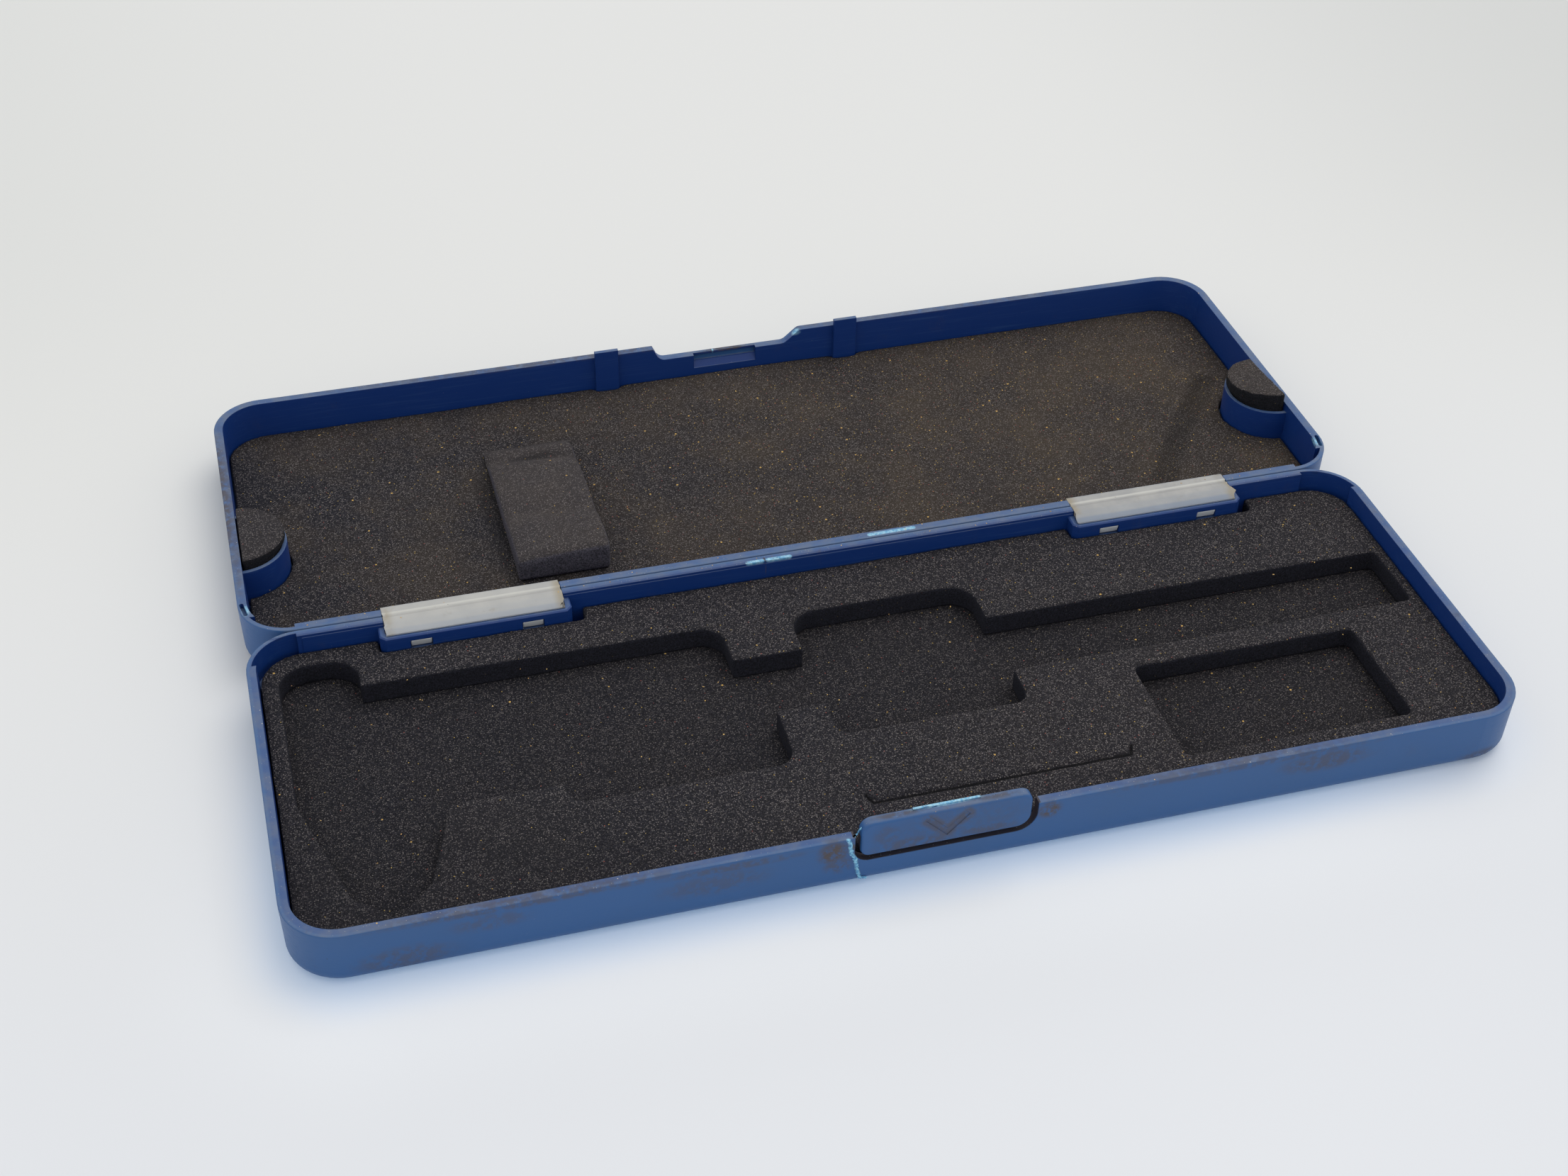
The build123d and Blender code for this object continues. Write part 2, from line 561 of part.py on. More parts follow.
block_near = LID_SEAM + BLOCK_FROM_HINGE
with BuildPart() as lid_foam_block:
    with BuildSketch(Plane.YZ.offset(LEFT + BLOCK_FROM_LEFT)):
        with BuildLine():
            Polyline(
                (block_near, LID_SHEET_TOP), (block_near + BLOCK_DEPTH, LID_SHEET_TOP),
                (block_near + BLOCK_DEPTH, LID_SHEET_TOP + BLOCK_END_HEIGHT),
                (block_near + BLOCK_SHOULDER[0], LID_SHEET_TOP + BLOCK_SHOULDER[1]),
                (block_near, LID_SHEET_TOP + BLOCK_HEIGHT), close=True,
            )
        make_face()
    extrude(amount=BLOCK_WIDTH)
lid_foam_block.part.label = "lid_foam_block"


def post_pad(side, raised):
    """Half-round foam pad inside a post. A raised pad stands up on its hinge side."""
    radius = POST_RADIUS - POST_WALL - PAD_CLEARANCE
    top = RIM + PAD_RISE
    flat = side * (RIGHT - WALL - PAD_CLEARANCE)
    with BuildPart() as pad:
        with BuildSketch(Plane((side * (RIGHT - WALL), post_y, FLOOR))):
            Circle(radius)
            with Locations((-side * (PAD_CLEARANCE + radius), 0)):
                Rectangle(2 * radius, 3 * radius, mode=Mode.INTERSECT)
        extrude(amount=top + RIGHT_PAD_LIFT - FLOOR)
        foot_edges = pad.faces().sort_by(Axis.Z)[0].edges().filter_by(GeomType.LINE)
        chamfer(foot_edges, PAD_FOOT_CHAMFER)
        with BuildSketch(Plane.YZ.offset(flat)):
            with BuildLine():
                Polyline(
                    (post_y - radius - LAP, top + (RIGHT_PAD_LIFT if raised else 0)),
                    (post_y + radius + LAP, top),
                    (post_y + radius + LAP, top + RIGHT_PAD_LIFT + LAP),
                    (post_y - radius - LAP, top + RIGHT_PAD_LIFT + LAP), close=True,
                )
            make_face()
        extrude(amount=2 * radius, both=True, mode=Mode.SUBTRACT)
    return pad.part


with BuildPart() as post_pad_left:
    add(post_pad(-1, False))
post_pad_left.part.label = "post_pad_left"

with BuildPart() as post_pad_right:
    add(post_pad(1, True))
post_pad_right.part.label = "post_pad_right"

# Hinge strips: each is one moulding with a leaf on either side of its crease
with BuildPart() as hinge_leaf_left_base:
    add(hinge_leaf(-STRIP_X, SEAM, -1, BASE_LEAF, BASE_LEAF_SLOPE, BASE_PLUG, BASE_POCKET))
hinge_leaf_left_base.part.label = "hinge_leaf_left_base"

with BuildPart() as hinge_leaf_left_lid:
    add(hinge_leaf(-STRIP_X, LID_SEAM, 1, LID_LEAF, LID_LEAF_SLOPE, LID_PLUG, LID_POCKET))
hinge_leaf_left_lid.part.label = "hinge_leaf_left_lid"

with BuildPart() as hinge_leaf_right_base:
    add(hinge_leaf(STRIP_X, SEAM, -1, BASE_LEAF, BASE_LEAF_SLOPE, BASE_PLUG, BASE_POCKET))
hinge_leaf_right_base.part.label = "hinge_leaf_right_base"

with BuildPart() as hinge_leaf_right_lid:
    add(hinge_leaf(STRIP_X, LID_SEAM, 1, LID_LEAF, LID_LEAF_SLOPE, LID_PLUG, LID_POCKET))
hinge_leaf_right_lid.part.label = "hinge_leaf_right_lid"

os.makedirs("parts", exist_ok=True)
export_step(base_shell.part, "parts/base_shell.step")
export_step(base_foam_backing.part, "parts/base_foam_backing.step")
export_step(base_foam_insert.part, "parts/base_foam_insert.step")
export_step(latch_tab.part, "parts/latch_tab.step")
export_step(lid_shell.part, "parts/lid_shell.step")
export_step(lid_foam_sheet.part, "parts/lid_foam_sheet.step")
export_step(lid_foam_block.part, "parts/lid_foam_block.step")
export_step(post_pad_left.part, "parts/post_pad_left.step")
export_step(post_pad_right.part, "parts/post_pad_right.step")
export_step(hinge_leaf_left_base.part, "parts/hinge_leaf_left_base.step")
export_step(hinge_leaf_left_lid.part, "parts/hinge_leaf_left_lid.step")
export_step(hinge_leaf_right_base.part, "parts/hinge_leaf_right_base.step")
export_step(hinge_leaf_right_lid.part, "parts/hinge_leaf_right_lid.step")
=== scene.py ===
import math
import operator
import random
from functools import reduce

import bmesh
import bpy
from mathutils import Matrix, Vector, noise


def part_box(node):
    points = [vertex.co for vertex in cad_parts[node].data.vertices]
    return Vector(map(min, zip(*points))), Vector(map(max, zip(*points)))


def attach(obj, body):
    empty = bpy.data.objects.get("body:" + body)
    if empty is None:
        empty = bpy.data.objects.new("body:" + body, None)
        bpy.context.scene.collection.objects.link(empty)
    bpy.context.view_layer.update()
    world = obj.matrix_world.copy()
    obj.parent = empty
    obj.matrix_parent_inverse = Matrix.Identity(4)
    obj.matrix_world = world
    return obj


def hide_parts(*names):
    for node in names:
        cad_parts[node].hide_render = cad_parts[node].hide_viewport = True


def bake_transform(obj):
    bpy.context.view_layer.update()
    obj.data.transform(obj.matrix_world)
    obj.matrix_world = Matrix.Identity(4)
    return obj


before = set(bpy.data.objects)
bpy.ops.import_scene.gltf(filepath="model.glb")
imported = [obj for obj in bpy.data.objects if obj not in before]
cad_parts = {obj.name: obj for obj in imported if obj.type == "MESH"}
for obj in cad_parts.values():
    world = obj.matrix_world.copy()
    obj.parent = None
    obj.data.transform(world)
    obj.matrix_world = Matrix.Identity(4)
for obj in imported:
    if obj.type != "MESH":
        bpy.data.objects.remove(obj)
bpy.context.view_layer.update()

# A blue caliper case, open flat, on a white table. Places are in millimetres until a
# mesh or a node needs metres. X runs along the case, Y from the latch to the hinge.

MM = 0.001

# Camera
CAMERA_PLACE = Vector((-113.6, -315.0, 310.4)) * MM
CAMERA_AIM = Vector((-7.6, 46.5, 0.0)) * MM
CAMERA_ROLL = math.radians(1.24)
CAMERA_LENS = 50.27
SENSOR_WIDTH = 36.0

# Places that the case's marks and pieces are measured from
base_low, base_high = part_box("base_shell")
lid_low, lid_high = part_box("lid_shell")
LEFT = base_low.x / MM
RIGHT = base_high.x / MM
FRONT = base_low.y / MM
RIM = base_high.z / MM
BASE_SEAM = base_high.y / MM
LID_SEAM = lid_low.y / MM
AXIS_Y = (BASE_SEAM + LID_SEAM) / 2
LID_FRONT = lid_high.y / MM
INSERT_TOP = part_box("base_foam_insert")[1].z / MM
LID_SHEET_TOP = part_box("lid_foam_sheet")[1].z / MM
TAB_LOW, TAB_HIGH = (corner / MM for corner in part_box("latch_tab"))
TAB_MIDDLE = (TAB_LOW.x + TAB_HIGH.x) / 2
STRIP_LOW, STRIP_HIGH = (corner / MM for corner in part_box("hinge_leaf_right_base"))
STRIP_MIDDLE = (STRIP_LOW.x + STRIP_HIGH.x) / 2
STRIP_HALF = (STRIP_HIGH.x - STRIP_LOW.x) / 2
BLOCK_LOW, BLOCK_HIGH = (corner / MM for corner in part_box("lid_foam_block"))
PAD_BOXES = {side: [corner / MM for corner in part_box(f"post_pad_{side}")]
             for side in ("left", "right")}
CORNER_RADIUS = 11.0
WALL = 2.0
POST_TOP = RIM - 1.9

# The room that the lid's notch leaves over the front rim: where it starts along the
# wall, and how steeply it rises
NOTCH_START = -18.35
NOTCH_RISE = 1.8

# Light: the room's, and one wide, soft window to the right
ROOM_TINT = (0.95, 0.975, 1.0, 1.0)
ROOM_STRENGTH = 0.74
WINDOW_TINT = (1.0, 0.985, 0.96)
WINDOW_DIRECTION = Vector((0.5, 0.34, 1.1))
WINDOW_STRENGTH = 0.86
WINDOW_SPREAD = math.radians(44.0)
TABLE_HALF_METRES = 4.0

# Slit in the base's foam, in plan, turned back at both ends
SLIT = [(LEFT + 112.9, FRONT + 14.6, 0.0), (LEFT + 113.7, FRONT + 12.4, 0.0),
        (LEFT + 167.6, FRONT + 12.4, 0.0), (LEFT + 168.4, FRONT + 14.6, 0.0)]

# Old fold in the lid's foam sheet, in plan, from the right post towards the hinge
FOLD = [(114.0, LID_SEAM + 50.0, 0.0), (101.0, LID_SEAM + 33.0, 0.0),
        (92.0, LID_SEAM + 21.0, 0.0), (86.0, LID_SEAM + 9.0, 0.0)]

# Crack down the front wall beside the latch, from the rim to the foot, as places along
# the wall and heights
CRACK = [(-20.3, 13.0), (-19.8, 11.9), (-19.6, 9.2), (-18.6, 7.4), (-18.3, 4.7), (-17.5, 1.9)]


def colour(red, green, blue):
    """A colour as a picture shows it, 0 to 255, as linear values for a shader."""
    def linear(value):
        value /= 255
        return value / 12.92 if value <= 0.04045 else ((value + 0.055) / 1.055) ** 2.4
    return (linear(red), linear(green), linear(blue), 1.0)


class Value:
    """One socket of a shader. Arithmetic on it adds Math nodes."""

    def __init__(self, paint, socket):
        self.paint = paint
        self.socket = socket

    def math(self, operation, *others):
        inputs = dict(enumerate((self, *others)))
        return self.paint.node("ShaderNodeMath", {"operation": operation}, inputs)

    def __add__(self, other):
        return self.math("ADD", other)

    def __sub__(self, other):
        return self.math("SUBTRACT", other)

    def __rsub__(self, other):
        return (self * -1) + other

    def __mul__(self, other):
        return self.math("MULTIPLY", other)

    def __truediv__(self, other):
        return self.math("DIVIDE", other)

    def __pow__(self, other):
        return self.math("POWER", other)

    def __gt__(self, other):
        return self.math("GREATER_THAN", other)

    def __lt__(self, other):
        return self.math("LESS_THAN", other)

    def __abs__(self):
        return self.math("ABSOLUTE")

    __radd__ = __add__
    __rmul__ = __mul__

    def most(self, other):
        return self.math("MAXIMUM", other)

    def least(self, other):
        return self.math("MINIMUM", other)

    def between(self, low, high):
        """Rises smoothly from 0 at low to 1 at high, or falls where low is the greater."""
        rising = low < high
        ends = {"From Min": min(low, high), "From Max": max(low, high),
                "To Min": 0.0 if rising else 1.0, "To Max": 1.0 if rising else 0.0}
        return self.paint.node("ShaderNodeMapRange", {"interpolation_type": "SMOOTHSTEP"},
                               {"Value": self, **ends})


class Paint:
    """A material built up node by node, on places in millimetres."""

    def __init__(self, name):
        self.material = bpy.data.materials.new(name)
        self.material.use_nodes = True
        self.tree = self.material.node_tree
        self.tree.nodes.clear()
        metres = self.node("ShaderNodeTexCoord", output="Object")
        self.place = self.node("ShaderNodeVectorMath", {"operation": "SCALE"},
                               {0: metres, "Scale": 1 / MM})
        self.x, self.y, self.z = (
            self.node("ShaderNodeSeparateXYZ", {}, {0: self.place}, axis) for axis in "XYZ")

    def node(self, kind, settings=None, inputs=None, output=0):
        """Adds a node, sets it up, joins or sets its inputs, and gives one output."""
        added = self.tree.nodes.new(kind)
        for name, setting in (settings or {}).items():
            setattr(added, name, setting)
        for key, value in (inputs or {}).items():
            if isinstance(value, Value):
                self.tree.links.new(value.socket, added.inputs[key])
            else:
                added.inputs[key].default_value = value
        return Value(self, added.outputs[output])

    def mix(self, amount, first, second):
        """A colour between two, by an amount from 0 to 1."""
        return self.node("ShaderNodeMix", {"data_type": "RGBA"},
                         {0: amount, 6: first, 7: second}, output=2)

    def stretched(self, x, y, z):
        """Places divided by a length along each axis, for streaks and flattened grain."""
        return self.node("ShaderNodeVectorMath", {"operation": "DIVIDE"},
                         {0: self.place, 1: (x, y, z)})

    def noise(self, size, detail=2.0, roughness=0.5, place=None):
        return self.node("ShaderNodeTexNoise", {},
                         {"Vector": place or self.place, "Scale": 1 / size,
                          "Detail": detail, "Roughness": roughness})

    def cells(self, size, output="Distance"):
        return self.node("ShaderNodeTexVoronoi", {},
                         {"Vector": self.place, "Scale": 1 / size}, output)

    def cell_draws(self, size):
        """One random number from 0 to 1 for each cell."""
        return self.node("ShaderNodeSeparateColor", {}, {0: self.cells(size, "Color")})

    def specks(self, size, radius, share):
        """Dots of a radius in some share of cells of a size, all in millimetres."""
        return (self.cells(size) < radius / size) * (self.cell_draws(size) > 1 - share)

    def vector(self, operation, first, second, output=0):
        return self.node("ShaderNodeVectorMath", {"operation": operation},
                         {0: first, 1: second}, output)

    def near(self, centre, reach):
        """1 inside an ellipsoid, fading to 0 at its surface."""
        scaled = self.vector("DIVIDE", self.vector("SUBTRACT", self.place, centre), reach)
        return self.vector("LENGTH", scaled, (0, 0, 0), "Value").between(1.0, 0.35)

    def along(self, points, width, plan=False):
        """1 on a broken line through some places, fading to 0 at a width from it."""
        gaps = []
        place = self.vector("MULTIPLY", self.place, (1, 1, 0)) if plan else self.place
        for start, end in zip(points, points[1:]):
            span = Vector(end) - Vector(start)
            reached = self.vector("SUBTRACT", place, start)
            share = self.vector("DOT_PRODUCT", reached, span, "Value") / span.length_squared
            foot = self.node("ShaderNodeVectorMath", {"operation": "SCALE"},
                             {0: span, "Scale": share.most(0.0).least(1.0)})
            gaps.append(self.vector("DISTANCE", reached, foot, "Value"))
        return reduce(Value.least, gaps).between(width, width * 0.4)

    def outline_gap(self, low, high, radius):
        """How far a place is outside a rounded rectangle in plan, less than 0 inside it."""
        x, y = (abs(value - (least + most) / 2) - ((most - least) / 2 - radius)
                for value, least, most in zip((self.x, self.y), low, high))
        return (x.most(0.0) ** 2.0 + y.most(0.0) ** 2.0) ** 0.5 - radius

    def facing(self, axis, low, high):
        """1 on surfaces that face along an axis, as the case lies open."""
        normal = self.node("ShaderNodeTexCoord", output="Normal")
        return self.node("ShaderNodeSeparateXYZ", {}, {0: normal}, axis).between(low, high)

    def inside(self, low, high, fade=0.15):
        """1 inside a box, fading to 0 at its faces."""
        shares = (value.between(least, least + fade) * value.between(most, most - fade)
                  for value, least, most in zip((self.x, self.y, self.z), low, high))
        return reduce(operator.mul, shares)

    def finish(self, base_colour, roughness, height=None, height_mm=0.1, rounding_mm=0.0,
               **constants):
        """Joins the surface's shader. Constants are named as its sockets are."""
        inputs = {"Base Color": base_colour, "Roughness": roughness}
        inputs.update({name.replace("_", " "): value for name, value in constants.items()})
        if rounding_mm:
            inputs["Normal"] = self.node("ShaderNodeBevel", {"samples": 4},
                                         {"Radius": rounding_mm * MM})
        if height is not None:
            relief = {"Height": height, "Distance": height_mm * MM, "Strength": 1.0}
            if rounding_mm:
                relief["Normal"] = inputs["Normal"]
            inputs["Normal"] = self.node("ShaderNodeBump", {}, relief)
        surface = self.node("ShaderNodeBsdfPrincipled", {}, inputs)
        end = self.tree.nodes.new("ShaderNodeOutputMaterial")
        self.tree.links.new(surface.socket, end.inputs["Surface"])
        return self.material


BLACK = colour(0, 0, 0)
DEEP_BLUE = colour(16, 54, 122)
STREAKED_BLUE = colour(70, 108, 158)
OUTER_LIT_BLUE = colour(46, 92, 148)
HAZED_BLUE = colour(52, 90, 138)
RUBBED_BLUE = colour(72, 106, 148)
SCUFFED_BLUE = colour(118, 140, 168)
TOP_LIT_BLUE = colour(80, 107, 148)
DUSTED_BLUE = colour(112, 118, 130)
SEAM_DUST = colour(96, 108, 128)
LEDGE_SHADOW_BLUE = colour(22, 50, 104)
STRESSED_BLUE = colour(92, 168, 214)
STRESSED_WHITE = colour(176, 222, 240)
TORN_BLUE = colour(62, 132, 186)
TORN_WHITE = colour(150, 212, 238)
GRIME_AND_SHADE = colour(86, 80, 82)
THUMB_GRIME = colour(86, 82, 88)
DARK_GRIME_AND_SHADE = colour(58, 52, 56)
PALE_DUST = colour(176, 174, 170)
PALE_CRUMB = colour(204, 196, 184)
DARK_CRUMB = colour(36, 36, 44)
SAWDUST = colour(222, 180, 104)

FOAM_PORE = colour(17, 17, 22)
FOAM_CELL = colour(51, 50, 57)
FOAM_SPARK = colour(150, 142, 140)
FOAM_WARM_DUST = colour(122, 104, 78)
FOAM_PALE_DUST = colour(128, 118, 114)
FOAM_DARK_PATCH = colour(24, 23, 27)
FOAM_BARE_SHADED_FLOOR = colour(17, 17, 23)
FOAM_CREASE_SHADE = colour(13, 13, 16)
GREY_GRAIN = colour(158, 150, 144)
YELLOW_GRAIN = colour(188, 160, 94)
RED_GRAIN = colour(160, 92, 82)
WOOD_PALE = colour(228, 190, 116)
WOOD_DARK = colour(150, 110, 76)

MILKY = colour(160, 159, 158)
MILKY_WARM = colour(176, 174, 170)
MILKY_COOL = colour(150, 154, 160)
MILKY_RUBBED = colour(188, 186, 180)
MILKY_LEFT = colour(200, 198, 192)
MILKY_CREASE = colour(208, 206, 198)
THIN_EDGE = colour(112, 130, 156)
BARB_PAINTED_LIGHT = colour(226, 229, 232)
CREASE_SHADE = colour(140, 136, 130)
STRIP_STAIN = colour(146, 136, 120)
STRIP_END_STAIN = colour(148, 132, 98)
STRIP_DUST = colour(196, 180, 152)
STRIP_DIRT = colour(84, 80, 76)

TABLE_FRONT = colour(232, 233, 236)
TABLE_BACK = colour(233, 232, 229)
TABLE_FRONT_RIGHT_SHADE = colour(219, 221, 225)
TABLE_BACK_LEFT_SHADE = colour(222, 222, 218)
TABLE_BACK_RIGHT_SHADE = colour(212, 212, 209)
WIDE_PAINTED_GLOW = colour(94, 97, 98)
NEAR_PAINTED_GLOW = colour(78, 108, 138)


def case_plastic(name, marks):
    """Moulded blue plastic: deep blue inside, hazed outside with painted light from the white
    table, dusty on top with painted top light, with its marks.

    The marks are its outline in plan, how deep in from that the haze and its painted light
    reach, how much dust and painted top light lie on top and how whitened it is; stains, as
    centre, reach along each axis and strength; smears, as points, width and strength; boxes
    of dark dirt and painted shade, as two corners and strength; and whitened spots and lines,
    as centre and reach or points and width.
    """
    paint = Paint(name)
    up = paint.facing("Z", 0.55, 0.95)
    cloud = paint.noise(26.0, 4.0, 0.6)
    fine = paint.noise(0.6, 3.0, 0.65)
    streak = paint.noise(1.0, 3.0, 0.6, paint.stretched(16.0, 1.4, 0.4))
    rub = paint.noise(4.5, 4.0, 0.65)

    # Handling has dulled the outside, and the outside is painted lighter as painted light
    # reflected from the white table
    low, high = marks["outline"]
    depth = marks.get("depth", 0.9)
    outside = paint.outline_gap(low, high, CORNER_RADIUS).between(-depth, 0.4 - depth)
    outside = outside.most(paint.z.between(1.9, 1.5))
    shade = paint.mix(streak.between(0.5, 0.85) * 0.25, DEEP_BLUE, STREAKED_BLUE)
    hazed_and_lit = paint.mix(cloud.between(0.35, 0.7) * 0.5, OUTER_LIT_BLUE, HAZED_BLUE)
    hazed_and_lit = paint.mix(streak.between(0.5, 0.8) * 0.22, hazed_and_lit, RUBBED_BLUE)
    scuff = paint.noise(1.2, 4.0, 0.7, paint.stretched(0.5, 9.0, 1.0)).between(0.6, 0.72)
    scuff = scuff * paint.noise(30.0, 3.0, 0.6).between(0.48, 0.62) * paint.z.between(2.5, 0.5)
    hazed_and_lit = paint.mix(scuff * 0.4, hazed_and_lit, SCUFFED_BLUE)
    shade = paint.mix(outside, shade, hazed_and_lit)

    # Dust lies on everything that faces up, and in the seam; whatever faces up is also painted
    # lighter as painted top light
    dusted_and_top_lit = paint.mix(rub.between(0.35, 0.7) * 0.55, TOP_LIT_BLUE, DUSTED_BLUE)
    dust_and_top_light = marks.get("dust_and_top_light", 0.72)
    shade = paint.mix(up * (rub.between(0.3, 0.7) * 0.24 + dust_and_top_light), shade, dusted_and_top_lit)
    seam = abs(paint.y - AXIS_Y).between(0.6, 0.25) * paint.z.between(RIM - 1.2, RIM - 0.4)
    shade = paint.mix(seam * 0.45, shade, SEAM_DUST)
    # A thin painted shadow line along the inner edge of the back rim, where a small ledge
    # would shade the wall
    from_seam = paint.y - BASE_SEAM
    ledge_shadow = from_seam.between(-2.2, -1.75) * paint.z.between(RIM - 0.9, RIM - 0.5)
    ledge_shadow = ledge_shadow * from_seam.between(-1.2, -1.6)
    shade = paint.mix(ledge_shadow * 0.6, shade, LEDGE_SHADOW_BLUE)

    # Grey-brown stains, with painted shade as well on the bent sliver beside the crack
    stain = paint.noise(5.5, 5.0, 0.7).between(0.58, 0.74)
    grime_and_shade = stain * (0.1 + up * 0.34) * (fine.between(0.3, 0.6) * 0.5 + 0.5)
    for centre, reach, strength in marks["grime_and_shade"]:
        spot = paint.near(centre, reach) * paint.noise(1.9, 4.0, 0.72).between(0.34, 0.58)
        grime_and_shade = grime_and_shade.most(spot * strength)
    shade = paint.mix(grime_and_shade, shade, GRIME_AND_SHADE)
    for points, width, strength in marks.get("smears", ()):
        smear = paint.along(points, width) * paint.noise(1.7, 4.0, 0.7).between(0.3, 0.54)
        shade = paint.mix(smear * strength, shade, THUMB_GRIME)
        grime_and_shade = grime_and_shade.most(smear * strength)

    # Dark dirt and painted shade down in gaps and recesses, kept off faces that face the front
    dark = reduce(Value.most, (paint.inside(low, high) * strength
                               for low, high, strength in marks["dark"]))
    sunk = 1 - paint.facing("Y", -0.55, -0.9) * 0.96
    shade = paint.mix(dark * sunk, shade, DARK_GRIME_AND_SHADE)

    # Specks of dust and sawdust
    shade = paint.mix(paint.specks(0.55, 0.07, 0.3) * up * 0.75, shade, PALE_DUST)
    shade = paint.mix(paint.specks(1.6, 0.10, 0.2) * (up * 0.9 + 0.1), shade, PALE_CRUMB)
    shade = paint.mix(paint.specks(3.0, 0.16, 0.2) * up, shade, SAWDUST)
    shade = paint.mix(paint.specks(2.4, 0.09, 0.12), shade, DARK_CRUMB)

    # Plastic whitened where it was bent, torn or rubbed through
    ragged = paint.noise(0.8, 4.0, 0.7, paint.stretched(2.4, 1.0, 1.0)).between(0.34, 0.42)
    spots = [paint.near(centre, reach) * ragged for centre, reach in marks["stress"]]
    lines = [paint.along(points, width) * (ragged * 0.8 + 0.2)
             for points, width in marks["lines"]]
    stress = reduce(Value.most, spots + lines)
    pale = paint.mix(fine.between(0.3, 0.65), STRESSED_BLUE, STRESSED_WHITE)
    shade = paint.mix(stress * marks.get("whitened", 0.85), shade, pale)

    roughness = 0.42 + grime_and_shade * 0.35 + streak.between(0.45, 0.8) * 0.12 + up * 0.14
    height = streak * 0.3 + fine * 0.25 + rub * 0.25
    return paint.finish(shade, roughness, height, height_mm=0.05, rounding_mm=0.25,
                        Specular_IOR_Level=0.42)


# The foam's pores, in millimetres
FOAM_CELL_SIZE = 0.32


def foam(name, side_tone, warmth, crumb_share, lines=(), dark_patches=(), bare_and_shaded_below=None, paleness=0.0):
    """Dense black foam. Cut sides are clean and take their own tone, near black as painted
    shade on most pieces; dust greys whatever faces up.

    Lines are cuts and folds, painted dark as painted shade down in them, as points, width and
    strength. Dark patches are as stains are. Below the given height the pockets are painted
    darker: painted shade, with thinner dust.
    """
    paint = Paint(name)
    up = paint.facing("Z", 0.35, 0.85)
    spark = paint.cells(FOAM_CELL_SIZE).between(0.6, 0.15)
    spark = spark * paint.cell_draws(FOAM_CELL_SIZE) ** 1.8
    fine = paint.noise(0.3, 3.0, 0.75).between(0.34, 0.66)
    cloud = paint.noise(19.0, 4.0, 0.6).between(0.36, 0.68)

    # Dust on the top: dark pores, pale cell walls, warmer and thicker to the right
    top = paint.mix(fine, FOAM_PORE, FOAM_CELL)
    top = paint.mix(spark, top, FOAM_SPARK)
    warm = (paint.x.between(-125.0, 110.0) * 0.7 + cloud * 0.6) * warmth
    top = paint.mix(warm, top, FOAM_WARM_DUST)
    top = paint.mix(paleness, top, FOAM_PALE_DUST)
    # Dark patches, most of them painted shade
    for centre, reach, strength in dark_patches:
        top = paint.mix(paint.near(centre, reach) * strength, top, FOAM_DARK_PATCH)
    # Painted shade, with thinner dust, down in the pockets below the given height
    if bare_and_shaded_below is not None:
        top = paint.mix(paint.z.between(bare_and_shaded_below, bare_and_shaded_below - 2.0) * 0.3, top, FOAM_BARE_SHADED_FLOOR)
    # Sides: clean cut foam in their own tone, painted darker than the top as painted shade,
    # and on the block painted lighter as painted light
    side_pore = colour(*(tone * 0.42 for tone in side_tone))
    side = paint.mix(fine * 0.6 + spark * 0.4, side_pore, colour(*side_tone))
    shade = paint.mix(up, side, top)

    # Grey dust, sawdust and a few reddish grains
    loose = up * 0.85 + 0.15
    sawn = (paint.x.between(-130.0, 60.0) * 0.75 + 0.25) * crumb_share
    shade = paint.mix(paint.specks(0.8, 0.11, 0.16) * loose * 0.8, shade, GREY_GRAIN)
    shade = paint.mix(paint.specks(0.9, 0.13, sawn * 0.2) * loose, shade, YELLOW_GRAIN)
    shade = paint.mix(paint.specks(1.0, 0.12, sawn * 0.13) * loose, shade, RED_GRAIN)
    shade = paint.mix(paint.specks(2.3, 0.24, sawn * 0.1) * up, shade, SAWDUST)
    # Cuts and folds painted dark, as painted shade down in them
    for points, width, strength in lines:
        line = paint.along(points, width, plan=True) * up.most(0.4)
        shade = paint.mix(line * strength, shade, FOAM_CREASE_SHADE)
    height = spark * 0.6 + fine * 0.4
    return paint.finish(shade, 0.96, height, height_mm=0.22, Specular_IOR_Level=0.2)


